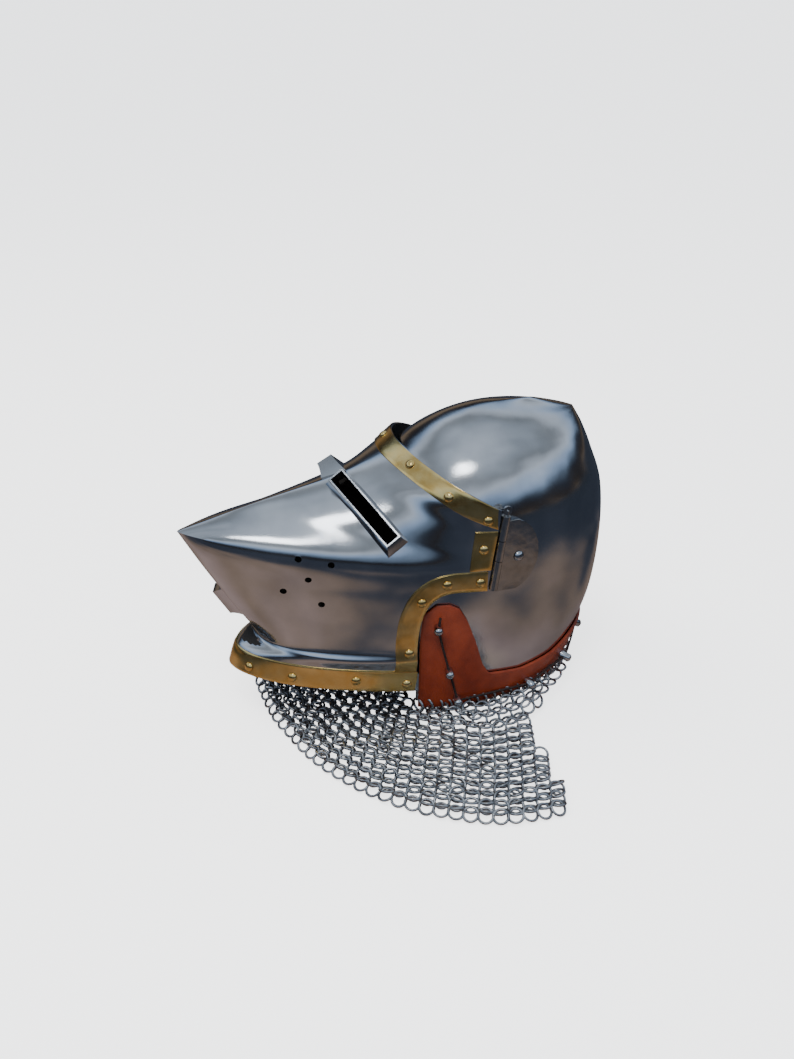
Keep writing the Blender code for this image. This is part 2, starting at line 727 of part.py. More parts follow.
def flat_plate(name, outline, inner, thickness, side, collection):
    # A plate in side view, from its inner face outwards
    build = bmesh.new()
    near = [build.verts.new(place(forward, inner * side, up)) for forward, up in outline]
    far = [build.verts.new(place(forward, (inner + thickness) * side, up)) for forward, up in outline]
    build.faces.new(near)
    build.faces.new(far[::-1])
    for index in range(len(outline)):
        after = (index + 1) % len(outline)
        build.faces.new((near[after], near[index], far[index], far[after]))
    bmesh.ops.recalc_face_normals(build, faces=build.faces)
    mesh = bpy.data.meshes.new(name)
    build.to_mesh(mesh)
    build.free()
    return add_object(name, mesh, collection)


def make_hinges(parts, cutters, steel):
    for word, side in (("left", 1), ("right", -1)):
        bore = pin_bore(word, side, cutters)
        leaf = ribbon("visor_leaf_" + word, leaf_pairs(), 3, parts, steel, side,
                      -VISOR_WALL - LEAF_THICK - 2 * GAP, LEAF_THICK)
        upper = knuckle("upper_knuckle_" + word, HINGE_TOP, KNUCKLE_TOP + 2 * GAP, side, cutters)
        lower = knuckle("lower_knuckle_" + word, KNUCKLE_BOTTOM - 2 * GAP, HINGE_BOTTOM, side, cutters)
        add_boolean(leaf, upper, "UNION")
        add_boolean(leaf, lower, "UNION")
        add_boolean(leaf, bore)
        plate = flat_plate("side_plate_" + word, plate_outline(), PLATE_SIDE, PLATE_THICK, side, parts)
        plate.data.materials.append(steel)
        barrel = knuckle("plate_knuckle_" + word, KNUCKLE_TOP, KNUCKLE_BOTTOM, side, cutters)
        add_boolean(plate, barrel, "UNION")
        add_boolean(plate, bore)
        hole = tube_between("plate_hole_" + word, place(0, 0.5 * PLATE_SIDE * side, 0), place(0, 1.5 * PLATE_SIDE * side, 0),
                            PIVOT_RADIUS + PIN_PLAY, cutters, 12)
        add_boolean(plate, as_cutter(hole))


def leaf_pairs():
    # Edge pairs of a leaf: it reaches into its own knuckles and stands clear of the plate's one
    inside, clear = 0.2 * KNUCKLE_RADIUS, KNUCKLE_RADIUS + 3 * GAP
    top, bottom = HINGE_TOP - 2 * GAP, HINGE_BOTTOM + 2 * GAP
    notch_top, notch_bottom = KNUCKLE_TOP + 3 * GAP, KNUCKLE_BOTTOM - 3 * GAP
    starts = ((top, inside), ((top + notch_top) / 2, inside), (notch_top, inside), (notch_top - GAP, clear),
              (notch_bottom + GAP, clear), (notch_bottom, inside), ((bottom + notch_bottom) / 2, inside),
              (bottom, inside))
    return [(Vector((hinge_forward(up) + start, up)), Vector((hinge_forward(up) + LEAF_REACH, up)))
            for up, start in starts]


def plate_outline():
    # A rounded tongue round the pivot whose front edge runs beside the hinge barrel
    front = KNUCKLE_RADIUS + 2 * GAP
    tuck = 0.3 * KNUCKLE_RADIUS
    places = ((PLATE_BOTTOM, front), (KNUCKLE_BOTTOM, front), (KNUCKLE_BOTTOM, tuck), (KNUCKLE_TOP, tuck),
              (KNUCKLE_TOP, front), (PLATE_TOP, front))
    points = [(hinge_forward(up) - behind, up) for up, behind in places]
    steps = 12
    for step in range(1, steps):
        angle = math.radians(92 + 176 * step / steps)
        points.append((PLATE_MIDDLE + PLATE_ROUNDNESS * PLATE_RADIUS * math.cos(angle),
                       (PLATE_TOP + PLATE_BOTTOM) / 2 + PLATE_RADIUS * math.sin(angle)))
    return points


def make_pivots(parts, steel):
    # A domed head outside, a shank through plate and skull, a flat head inside
    head_foot = PLATE_SIDE + PLATE_THICK + GAP
    inner = skull_point(*skull_side(0.0, 0.0)).y - SKULL_WALL - 4 * GAP
    shank = head_foot - inner
    for word, side in (("left", 1), ("right", -1)):
        profile = [(0.0, 0.60 * PIVOT_HEAD), (0.55 * PIVOT_HEAD, 0.48 * PIVOT_HEAD),
                   (0.9 * PIVOT_HEAD, 0.22 * PIVOT_HEAD), (PIVOT_HEAD, 0.0), (PIVOT_RADIUS, 0.0),
                   (PIVOT_RADIUS, -shank), (PIVOT_HEAD, -shank), (PIVOT_HEAD, -shank - PIVOT_FOOT),
                   (0.0, -shank - PIVOT_FOOT)]
        rivet = turned("pivot_rivet_" + word, profile, 12, parts, steel)
        stand_on(rivet, place(0.0, head_foot * side, 0.0), Vector((side, 0, 0)))


def make_pins(parts, cutters, steel):
    tab_up = HINGE_TOP + 2 * GAP + 0.95 * PIN_TAB_RADIUS
    point_up = HINGE_BOTTOM - PIN_POINT
    across = Vector((1, 0, 0))
    for word, side in (("left", 1), ("right", -1)):
        top = place(hinge_forward(tab_up), HINGE_SIDE * side, tab_up)
        bottom = place(hinge_forward(point_up), HINGE_SIDE * side, point_up)
        pin = tube_between("hinge_pin_" + word, top, bottom, PIN_RADIUS, parts, 10)
        pin.data.materials.append(steel)
        half = across * PIN_TAB_THICK / 2
        tab = tube_between("pin_tab_" + word, top - half, top + half, PIN_TAB_RADIUS, cutters, 14)
        add_boolean(pin, as_cutter(tab), "UNION")
        eye_at = top + (top - bottom).normalized() * 0.25 * PIN_TAB_RADIUS
        eye = tube_between("pin_eye_" + word, eye_at - 2 * half, eye_at + 2 * half, 0.3 * PIN_TAB_RADIUS,
                           cutters, 8)
        add_boolean(pin, as_cutter(eye))


def leather_rows():
    # (forward, up) of the leather's upper edge
    rows = []
    for forward, top in LEATHER_EDGE:
        size = LEATHER_FRONT if forward > 0 else SKULL_BACK
        rows.append((forward * size, top * SKULL_DROP))
    return rows


def leather_turns():
    # Turns of the left side from the front end to the middle of the back
    table = leather_rows()
    wanted = [row[0] for row in reversed(table) if row[0] > 0.0]
    wanted += [(a + b) / 2 for a, b in zip(wanted, wanted[1:])]
    wanted += [0.5 * wanted[0] * share for share in (0.1, -0.3)]
    turns = [skull_side(forward, -0.8 * SKULL_DROP)[1] for forward in wanted]
    last = max(turns)
    steps = 13
    turns += [last + (math.pi - last) * step / steps for step in range(1, steps + 1)]
    return sorted(turns)


def leather_point(turn, share, height):
    # share 0 at the lower edge, 1 at the upper edge
    top = between(leather_rows(), skull_point(1.0, turn).x)[1]
    edge = lift(skull_point, 0.0, turn, height)
    bottom = edge.z - LEATHER_OVERHANG
    up = bottom + (top - bottom) * share
    if up < edge.z:
        return Vector((edge.x, edge.y, up))
    return lift(skull_point, skull_at(turn, up), turn, height)


def make_leather(parts, hide):
    turns = leather_turns()
    both = turns + [2 * math.pi - turn for turn in reversed(turns[:-1])]
    rows = 4
    grid = [[leather_point(turn, row / rows, LEATHER_GAP) for turn in both] for row in range(rows + 1)]
    band = add_object("leather_band", mesh_from_grid("leather_band", grid), parts, hide)
    add_solidify(band, LEATHER_THICK, 1.0)
    return band


def vervelle_places():
    places = []
    for forward, up in VERVELLES:
        size = LEATHER_FRONT if forward > 0 else SKULL_BACK
        places.append((forward * size, up * SKULL_DROP))
    return places


def lace_route():
    # Points of the left half, from the top vervelle to the middle of the back
    posts = [(skull_side(forward, up)[1], up) for forward, up in vervelle_places()]
    ends = [(posts[0][0], posts[0][1] + 3 * VERVELLE_RADIUS)] + posts
    ends.append((math.pi, posts[-1][1]))
    base = LEATHER_GAP + LEATHER_THICK
    route = []
    for index, (start, end) in enumerate(zip(ends, ends[1:])):
        steps = 2 if index == 0 else LACE_STEPS
        for step in range(steps):
            part = step / steps
            turn = start[0] + (end[0] - start[0]) * part
            up = start[1] + (end[1] - start[1]) * part
            sag = 4 * part * (1 - part)
            height = base + LACE_HEIGHT - sag * (LACE_HEIGHT - 1.6 * LACE_RADIUS)
            if index == 0:
                height = base + LACE_HEIGHT
            route.append(place(*lift(skull_point, skull_at(turn, up), turn, height)))
    return route


def make_lace(parts, dark):
    left = lace_route()
    last = skull_at(math.pi, vervelle_places()[-1][1])
    middle = place(*lift(skull_point, last, math.pi, LEATHER_GAP + LEATHER_THICK + 1.6 * LACE_RADIUS))
    right = [Vector((-point.x, point.y, point.z)) for point in reversed(left)]
    points = left + [middle] + right
    curve = bpy.data.curves.new("lacing_cord", "CURVE")
    curve.dimensions = "3D"
    curve.bevel_depth = LACE_RADIUS
    curve.bevel_resolution = 1
    curve.use_fill_caps = True
    spline = curve.splines.new("POLY")
    spline.points.add(len(points) - 1)
    for knot, point in zip(spline.points, points):
        knot.co = (*point, 1.0)
    curve.materials.append(dark)
    lace = bpy.data.objects.new("lacing_cord", curve)
    parts.objects.link(lace)
    return points


def make_vervelles(parts, cutters, steel, route):
    profile = [(0.0, VERVELLE_HEIGHT), (0.6 * VERVELLE_RADIUS, 0.96 * VERVELLE_HEIGHT),
               (VERVELLE_RADIUS, 0.82 * VERVELLE_HEIGHT), (VERVELLE_RADIUS, 0.0), (0.0, 0.0)]
    for index, (forward, up) in enumerate(vervelle_places()):
        ring, turn = skull_side(forward, up)
        foot = lift(skull_point, ring, turn, LEATHER_GAP + LEATHER_THICK + GAP)
        normal = surface_normal(skull_point, ring, turn)
        first = 2 + LACE_STEPS * index
        before, at, after = route[first - 1], route[first], route[min(first + 1, len(route) - 1)]
        for word, side in (("left", 1), ("right", -1)):
            name = "vervelle_%d_%s" % (index + 1, word)
            post = turned(name, profile, 8, parts, steel)
            stand_on(post, place(foot.x, foot.y * side, foot.z),
                     to_world(Vector((normal.x, normal.y * side, normal.z))))
            from_point, centre, to_point = [Vector((point.x * side, point.y, point.z))
                                            for point in (before, at, after)]
            for hole_index, direction in enumerate((from_point - centre, to_point - centre)):
                start = centre - direction.normalized() * 0.6 * VERVELLE_RADIUS
                end = centre + direction.normalized() * 2.5 * VERVELLE_RADIUS
                hole = tube_between("%s_eye_%d" % (name, hole_index), start, end, LACE_RADIUS + LACE_PLAY,
                                    cutters, 6)
                add_boolean(post, as_cutter(hole))


def neck_ring(angle):
    # Reach and height of the skull's lower edge at this angle from the front, round the neck
    low, high = 0.0, math.pi
    for _ in range(30):
        turn = (low + high) / 2
        point = skull_point(0.0, turn)
        if math.atan2(point.y, point.x - NECK_FORWARD) < angle:
            low = turn
        else:
            high = turn
    return Vector((point.x - NECK_FORWARD, point.y)).length, point.z


def mail_angles():
    left = [math.radians(angle) for angle in (0, 10, 20, 30, 40, 50, 60, 69, 78, 83, 88, 92, 96, 101, 108,
                                              118, 130, 143, 156, 168, 180)]
    return left + [2 * math.pi - angle for angle in reversed(left[1:-1])]


def mail_point(angle, share):
    # share 0 at the neck, 1 at the hem; (forward, side, height of the underside over the floor)
    left = min(angle, 2 * math.pi - angle)
    hem = MAIL_REACH * between(HEM, math.degrees(left))[1]
    neck, edge_up = neck_ring(left)
    if math.cos(left) > 0:
        neck = min(neck, (FACE_EDGE - NECK_FORWARD) / math.cos(left))
    reach = neck + (hem - neck) * share
    forward = NECK_FORWARD + reach * math.cos(left)
    under = PIVOT_HEIGHT + edge_up - LEATHER_OVERHANG - 2 * LEATHER_GAP - MAIL_THICK
    drop = min((reach - neck) / MAIL_FALL, 1.0)
    height = under * (1 + math.cos(math.pi * drop)) / 2
    # The mail lies flat under the open face and climbs to the leather beside it
    flat, climbed = math.radians(38), math.radians(60)
    height *= min(max((left - flat) / (climbed - flat), 0.0), 1.0)
    side = reach * math.sin(left)
    return forward, math.copysign(side, math.pi - angle), height


def make_mail(parts, mail_steel):
    shares = (0.0, 0.13, 0.28, 0.45, 0.7, 1.0)
    grid = []
    for share in shares:
        line = []
        for angle in mail_angles():
            forward, side, height = mail_point(angle, share)
            line.append((forward, side, height - PIVOT_HEIGHT))
        grid.append(line)
    mail = add_object("aventail", mesh_from_grid("aventail", grid, closed=True, flip=True), parts, mail_steel)
    add_solidify(mail, MAIL_THICK, 1.0)
    return mail


def main():
    clear_scene()
    parts = make_collection("hounskull_bascinet")
    cutters = make_collection("cutters")
    steel = material("polished_steel", (0.60, 0.61, 0.62), 1.0, 0.22)
    dark_steel = material("hinge_steel", (0.38, 0.37, 0.36), 1.0, 0.35)
    brass = material("brass", (0.78, 0.60, 0.22), 1.0, 0.25)
    hide = material("red_brown_leather", (0.30, 0.08, 0.03), 0.0, 0.55)
    lace = material("dark_lace", (0.03, 0.02, 0.02), 0.0, 0.8)
    mail_steel = material("mail_steel", (0.42, 0.42, 0.42), 1.0, 0.4)
    make_skull(parts, cutters, steel)
    make_visor(parts, cutters, steel)
    make_trim(parts, brass)
    make_rivets(parts, brass)
    make_hinges(parts, cutters, dark_steel)
    make_pivots(parts, steel)
    make_pins(parts, cutters, dark_steel)
    make_leather(parts, hide)
    route = make_lace(parts, lace)
    make_vervelles(parts, cutters, steel, route)
    make_mail(parts, mail_steel)


main()
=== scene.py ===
# A hounskull bascinet with its ring-mail aventail spread on a pale table.
# Shapes are worked out as (forward, side, up) from the middle of the visor's pivot axis, in metres.
import math
import random

import bmesh
import bpy
import numpy as np
from mathutils import Matrix, Vector
from mathutils.bvhtree import BVHTree


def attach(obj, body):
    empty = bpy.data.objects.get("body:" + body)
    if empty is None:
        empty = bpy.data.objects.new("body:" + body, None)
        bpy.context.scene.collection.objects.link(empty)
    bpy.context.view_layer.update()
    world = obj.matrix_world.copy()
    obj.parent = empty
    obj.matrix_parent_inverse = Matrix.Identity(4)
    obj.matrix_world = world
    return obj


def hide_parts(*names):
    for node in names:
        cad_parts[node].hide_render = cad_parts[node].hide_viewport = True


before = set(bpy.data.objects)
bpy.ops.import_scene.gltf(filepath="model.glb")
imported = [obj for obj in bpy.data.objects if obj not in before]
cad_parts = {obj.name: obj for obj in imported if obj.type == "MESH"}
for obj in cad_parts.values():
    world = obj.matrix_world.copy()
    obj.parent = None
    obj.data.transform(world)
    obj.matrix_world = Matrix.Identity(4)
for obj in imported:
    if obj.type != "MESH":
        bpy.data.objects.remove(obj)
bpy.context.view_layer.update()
print("frame loaded:", len(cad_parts), "nodes")

helmet = {
    "snoutReach": 0.297, "skullBack": 0.129, "pivotHeight": 0.175,
    "gap": 0.0003, "steelWall": 0.0018, "visorWall": 0.0016, "cutHalfWidth": 0.15,
}
middle = (helmet["snoutReach"] - helmet["skullBack"]) / 2


# Places, curves and tables

def place(forward, side, up):
    return Vector((side, middle - forward, helmet["pivotHeight"] + up))


def toWorld(direction):
    return Vector((direction.y, -direction.x, direction.z))


def riseOf(share, upSize, downSize):
    return share * (upSize if share > 0 else downSize)


def smoothRow(rows, position, corner=None):
    # A smooth curve through the rows' numbers, with a corner at one row if asked
    last = len(rows) - 1
    position = min(max(position, 0.0), last - 1e-9)
    index = int(position)
    part = position - index

    def slope(at, after, column):
        if at == corner:
            first = at if after else at - 1
            return rows[first + 1][column] - rows[first][column]
        low, high = max(at - 1, 0), min(at + 1, last)
        return (rows[high][column] - rows[low][column]) / (high - low)

    cube, square = part ** 3, part ** 2
    result = []
    for column in range(len(rows[0])):
        start, end = rows[index][column], rows[index + 1][column]
        out, into = slope(index, True, column), slope(index + 1, False, column)
        result.append((2 * cube - 3 * square + 1) * start + (cube - 2 * square + part) * out
                      + (3 * square - 2 * cube) * end + (cube - square) * into)
    return result


def between(table, value):
    # Straight interpolation in a table whose first column grows
    index = 1
    while index < len(table) - 1 and table[index][0] < value:
        index += 1
    low, high = table[index - 1], table[index]
    part = min(max((value - low[0]) / (high[0] - low[0]), 0.0), 1.0)
    return [a + (b - a) * part for a, b in zip(low, high)]


visor = {"rise": 0.086, "drop": 0.125, "halfWidth": 0.1025, "rear": 0.018, "pointedTurn": 0.5}
# name, ridge reach, ridge up, side up, side width, fullness
visorLevels = (
    ("brow", 0.273, 1.000, 0.581, 0.990, 1.90),
    ("overEyes", 0.377, 0.849, 0.442, 0.995, 1.65),
    ("eyes", 0.505, 0.709, 0.279, 1.000, 1.42),
    ("snoutTop", 0.758, 0.535, 0.047, 1.000, 1.28),
    ("tip", 1.000, 0.349, -0.128, 1.000, 1.32),
    ("underTip", 0.926, -0.104, -0.320, 0.995, 1.42),
    ("snoutUnder", 0.842, -0.464, -0.520, 0.985, 1.58),
    ("snoutRoot", 0.785, -0.680, -0.736, 0.968, 1.85),
    ("crook", 0.774, -0.745, -0.848, 0.968, 2.06),
    ("rimTop", 0.840, -0.818, -0.944, 0.972, 1.75),
    ("rimEdge", 0.868, -0.985, -1.120, 0.980, 1.75),
)
tipLevel, rimTopLevel, rimEdgeLevel = 4, 9, 10
visorRows = [(reach * helmet["snoutReach"], riseOf(up, visor["rise"], visor["drop"]),
              riseOf(sideUp, visor["rise"], visor["drop"]), width * visor["halfWidth"], full)
             for name, reach, up, sideUp, width, full in visorLevels]

skull = {"front": 0.140, "halfWidth": 0.097, "crown": 0.114, "drop": 0.160, "faceEdge": 0.092}
# name, front, back, width, front up, back up, fullness
skullRings = (
    ("edge", 0.964, 0.735, 0.979, -1.000, -0.910, 2.20),
    ("neck", 0.986, 0.850, 1.000, -0.765, -0.700, 2.20),
    ("jaw", 1.000, 0.953, 1.005, -0.469, -0.469, 2.20),
    ("ear", 0.940, 1.000, 1.000, -0.125, -0.125, 2.15),
    ("temple", 0.820, 0.977, 0.954, 0.263, 0.263, 2.10),
    ("brow", 0.660, 0.891, 0.825, 0.561, 0.561, 2.05),
    ("dome", 0.445, 0.829, 0.615, 0.803, 0.746, 2.00),
    ("crown", 0.110, 0.783, 0.330, 0.978, 0.851, 1.90),
    ("peak", -0.371, 0.775, 0.052, 1.000, 0.873, 1.80),
)
skullRows = [(front * skull["front"], back * helmet["skullBack"], width * skull["halfWidth"],
              riseOf(frontUp, skull["crown"], skull["drop"]),
              riseOf(backUp, skull["crown"], skull["drop"]), full)
             for name, front, back, width, frontUp, backUp, full in skullRings]


def visorPoint(level, turn):
    # turn runs from 0 at the medial ridge to a quarter turn at the rear end of the left side.
    # The snout is pointed at the ridge and rounds off to the sides
    sharp = smoothRow(visorRows, level, tipLevel)
    soft = smoothRow(visorRows, level)
    blend = min(abs(turn) / visor["pointedTurn"], 1.0)
    blend = blend * blend * (3 - 2 * blend)
    reach, ridgeUp, sideUp, width, full = [a + (b - a) * blend for a, b in zip(sharp, soft)]
    share = max(math.cos(turn), 0.0) ** (2 / full)
    side = math.copysign(width * abs(math.sin(turn)) ** (2 / full), turn)
    rear = visor["rear"]
    return Vector((rear + (reach - rear) * share, side, sideUp + (ridgeUp - sideUp) * share))


def skullPoint(ring, turn):
    # turn runs from 0 at the front, over the left side, to half a turn at the back
    front, back, width, frontUp, backUp, full = smoothRow(skullRows, ring)
    share = math.copysign(abs(math.cos(turn)) ** (2 / full), math.cos(turn))
    side = math.copysign(width * abs(math.sin(turn)) ** (2 / full), math.sin(turn))
    return Vector(((front - back) / 2 + (front + back) / 2 * share, side,
                   backUp + (frontUp - backUp) * (share + 1) / 2))


def surfaceNormal(surface, row, turn):
    step = 1e-4
    along = surface(row + step, turn) - surface(row - step, turn)
    around = surface(row, turn + step) - surface(row, turn - step)
    normal = along.cross(around).normalized()
    return normal if normal.dot(surface(row, turn)) > 0 else -normal


def lifted(surface, row, turn, height):
    return surface(row, turn) + surfaceNormal(surface, row, turn) * height


def halved(low, high, isBelow, steps=26):
    # The value between low and high where isBelow changes from true to false
    for _ in range(steps):
        value = (low + high) / 2
        if isBelow(value):
            low = value
        else:
            high = value
    return (low + high) / 2


def visorAt(forward, up):
    # Level and turn of the left side's point with this side-view place
    def turnAt(level):
        return halved(0.0, math.pi / 2, lambda turn: visorPoint(level, turn).x > forward, 20)

    level = halved(0.0, float(rimEdgeLevel), lambda value: visorPoint(value, turnAt(value)).z > up, 20)
    return level, turnAt(level)


def skullAt(turn, up):
    return halved(0.0, 6.0, lambda ring: skullPoint(ring, turn).z < up)


# Colours, nodes and materials

def linear(colour):
    # An sRGB hex colour as linear red, green, blue and alpha
    parts = [int(colour[index:index + 2], 16) / 255 for index in (1, 3, 5)]
    return [part / 12.92 if part <= 0.04045 else ((part + 0.055) / 1.055) ** 2.4
            for part in parts] + [1.0]


def addNode(tree, kind, inputs=(), links=(), **settings):
    # A node with its settings, its inputs' values and its links (input, from node, output)
    node = tree.nodes.new(kind)
    for name, value in settings.items():
        setattr(node, name, value)
    for name, value in dict(inputs).items():
        node.inputs[name].default_value = value
    for name, source, output in links:
        tree.links.new(source.outputs[output], node.inputs[name])
    return node


def setRamp(node, stops):
    # Colour stops of (position, hex colour)
    ramp = node.color_ramp
    while len(ramp.elements) < len(stops):
        ramp.elements.new(0.5)
    for element, (position, colour) in zip(ramp.elements, stops):
        element.position = position
        element.color = linear(colour)
    return node


def newMaterial(name, metallic, roughness):
    made = bpy.data.materials.new(name)
    made.use_nodes = True
    shader = made.node_tree.nodes["Principled BSDF"]
    shader.inputs["Metallic"].default_value = metallic
    shader.inputs["Roughness"].default_value = roughness
    return made, made.node_tree, shader


def metal(name, look):
    # Polished metal: slow changes of tone and roughness, fine brushing and faint hammer waves
    made, tree, shader = newMaterial(name, 1.0, look["roughness"])
    where = addNode(tree, "ShaderNodeTexCoord")
    slow = addNode(tree, "ShaderNodeTexNoise", {"Scale": 1 / look["patch"], "Detail": 3.0},
                   [("Vector", where, "Object")])
    tone = setRamp(addNode(tree, "ShaderNodeValToRGB", links=[("Fac", slow, "Fac")]),
                   ((0.30, look["dark"]), (0.70, look["light"])))
    tree.links.new(tone.outputs["Color"], shader.inputs["Base Color"])
    rough = addNode(tree, "ShaderNodeMapRange",
                    {"From Min": 0.35, "From Max": 0.75, "To Min": look["roughness"],
                     "To Max": look["roughness"] + look["dulling"]}, [("Value", slow, "Fac")])
    tree.links.new(rough.outputs["Result"], shader.inputs["Roughness"])
    stretch = addNode(tree, "ShaderNodeMapping", {"Scale": look["brushing"]},
                      [("Vector", where, "Object")])
    brushed = addNode(tree, "ShaderNodeTexNoise", {"Scale": 1 / look["grain"], "Detail": 2.0},
                      [("Vector", stretch, "Vector")])
    waves = addNode(tree, "ShaderNodeTexNoise", {"Scale": 1 / look["hammer"], "Detail": 1.0},
                    [("Vector", where, "Object")])
    fine = addNode(tree, "ShaderNodeBump", {"Strength": 1.0, "Distance": look["fineDepth"]},
                   [("Height", brushed, "Fac")])
    broad = addNode(tree, "ShaderNodeBump", {"Strength": 1.0, "Distance": look["hammerDepth"]},
                    [("Height", waves, "Fac"), ("Normal", fine, "Normal")])
    tree.links.new(broad.outputs["Normal"], shader.inputs["Normal"])
    return made


# Polished plate: bright, lightly brushed across, with faint hammer waves
plateLook = {"dark": "#b4b6b9", "light": "#d2d3d4", "roughness": 0.12, "dulling": 0.04, "patch": 0.05,
             "brushing": (1.0, 12.0, 1.0), "grain": 0.002, "fineDepth": 0.00002, "hammer": 0.035,
             "hammerDepth": 0.0006}
# Brass trim: warm yellow, brighter on its worn parts
brassLook = {"dark": "#f0c672", "light": "#ffe198", "roughness": 0.14, "dulling": 0.08, "patch": 0.012,
             "brushing": (1.0, 8.0, 8.0), "grain": 0.0015, "fineDepth": 0.00002, "hammer": 0.018,
             "hammerDepth": 0.00025}
# Hinge steel: darker and duller than the plate
hingeLook = {"dark": "#a9a7a4", "light": "#bfbdba", "roughness": 0.14, "dulling": 0.05, "patch": 0.008,
             "brushing": (6.0, 1.0, 1.0), "grain": 0.0012, "fineDepth": 0.00003, "hammer": 0.01,
             "hammerDepth": 0.0002}
# Mail wire: grey steel with darker patches
mailLook = {"dark": "#8f8f90", "light": "#cecece", "roughness": 0.26, "dulling": 0.12, "patch": 0.01,
            "brushing": (1.0, 1.0, 1.0), "grain": 0.001, "fineDepth": 0.00002, "hammer": 0.004,
            "hammerDepth": 0.00005}
plateSteel = metal("polished_plate", plateLook)
trimBrass = metal("trim_brass", brassLook)
hingeSteel = metal("hinge_steel", hingeLook)
mailSteel = metal("mail_wire", mailLook)


def leatherMaterial():
    # Red-brown vegetable-tanned leather, darker in its pores and worn lighter in patches
    made, tree, shader = newMaterial("red_brown_leather", 0.0, 0.38)
    where = addNode(tree, "ShaderNodeTexCoord")
    worn = addNode(tree, "ShaderNodeTexNoise", {"Scale": 45.0, "Detail": 5.0},
                   [("Vector", where, "Object")])
    tone = setRamp(addNode(tree, "ShaderNodeValToRGB", links=[("Fac", worn, "Fac")]),
                   ((0.28, "#70250f"), (0.50, "#853115"), (0.75, "#993d1d")))
    tree.links.new(tone.outputs["Color"], shader.inputs["Base Color"])
    pores = addNode(tree, "ShaderNodeTexVoronoi", {"Scale": 700.0}, [("Vector", where, "Object")])
    creases = addNode(tree, "ShaderNodeTexNoise", {"Scale": 90.0, "Detail": 4.0},
                      [("Vector", where, "Object")])
    grain = addNode(tree, "ShaderNodeBump", {"Strength": 0.6, "Distance": 0.0002},
                    [("Height", pores, "Distance")])
    folds = addNode(tree, "ShaderNodeBump", {"Strength": 0.5, "Distance": 0.0004},
                    [("Height", creases, "Fac"), ("Normal", grain, "Normal")])
    tree.links.new(folds.outputs["Normal"], shader.inputs["Normal"])
    return made


def laceMaterial():
    # Dark waxed cord
    made, tree, shader = newMaterial("dark_lace", 0.0, 0.7)
    where = addNode(tree, "ShaderNodeTexCoord")
    strands = addNode(tree, "ShaderNodeTexNoise", {"Scale": 900.0, "Detail": 2.0},
                      [("Vector", where, "Object")])
    tone = setRamp(addNode(tree, "ShaderNodeValToRGB", links=[("Fac", strands, "Fac")]),
                   ((0.3, "#140d0b"), (0.7, "#3a2822")))
    tree.links.new(tone.outputs["Color"], shader.inputs["Base Color"])
    return made


def innerMaterial():
    # The unpolished inner face of the plates
    made, _, shader = newMaterial("dark_inner_plate", 0.3, 0.7)
    shader.inputs["Base Color"].default_value = linear("#2b2927")
    return made


def paintInside(piece, centre, finish):
    # Faces that look towards the middle take the inner finish
    piece.data.materials.append(finish)
    for face in piece.data.polygons:
        if face.normal.dot(face.center - centre) < 0:
            face.material_index = 1


bandLeather = leatherMaterial()
innerPlate = innerMaterial()
darkLace = laceMaterial()
print("materials made")


# Making pieces

def deselect():
    bpy.ops.object.select_all(action="DESELECT")


def makeActive(piece):
    deselect()
    piece.select_set(True)
    bpy.context.view_layer.objects.active = piece


def weld(piece):
    # Joins the points that lie together and turns the faces outwards
    makeActive(piece)
    bpy.ops.object.mode_set(mode="EDIT")
    bpy.ops.mesh.select_all(action="SELECT")
    bpy.ops.mesh.remove_doubles(threshold=1e-5)
    bpy.ops.mesh.normals_make_consistent(inside=False)
    bpy.ops.object.mode_set(mode="OBJECT")


def formedSheet(name, columns, rows, spot):
    # A grid whose points go to their places on a surface; spot takes the shares across and up
    deselect()
    bpy.ops.mesh.primitive_grid_add(x_subdivisions=columns, y_subdivisions=rows, size=2)
    piece = bpy.context.active_object
    piece.name = piece.data.name = name
    for vertex in piece.data.vertices:
        vertex.co = place(*spot((vertex.co.x + 1) / 2, (vertex.co.y + 1) / 2))
    return piece


def outward(piece, centre):
    # Turns a sheet's faces away from a point, so that its wall grows to the right side
    total = sum(face.normal.dot(face.center - centre) * face.area for face in piece.data.polygons)
    if total < 0:
        piece.data.flip_normals()


def addWall(piece, thickness, offset):
    wall = piece.modifiers.new("Wall", "SOLIDIFY")
    wall.thickness = thickness
    wall.offset = offset
    wall.use_quality_normals = True


def addBevel(piece, width, segments=2):
    bevel = piece.modifiers.new("Edge", "BEVEL")
    bevel.width = width
    bevel.segments = segments
    bevel.limit_method = "ANGLE"
    bevel.angle_limit = math.radians(40)


def addBoolean(piece, cutter, operation="DIFFERENCE"):
    step = piece.modifiers.new(operation.title(), "BOOLEAN")
    step.operation = operation
    step.object = cutter


def settle(piece, cutters=()):
    # Turns the modifiers into mesh and removes the cutters
    makeActive(piece)
    bpy.ops.object.convert(target="MESH")
    for cutter in cutters:
        bpy.data.objects.remove(cutter, do_unlink=True)


def shade(piece, finish, angle=35):
    piece.data.materials.clear()
    piece.data.materials.append(finish)
    piece.data.shade_smooth()
    piece.data.set_sharp_from_angle(angle=math.radians(angle))


def finishPiece(piece, body, nodes):
    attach(piece, body)
    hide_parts(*nodes)


def mirrored(sheet, name):
    # The same sheet on the wearer's right
    copy = bpy.data.objects.new(name, sheet.data.copy())
    bpy.context.scene.collection.objects.link(copy)
    copy.data.transform(Matrix.Scale(-1, 4, (1, 0, 0)))
    copy.data.flip_normals()
    return copy


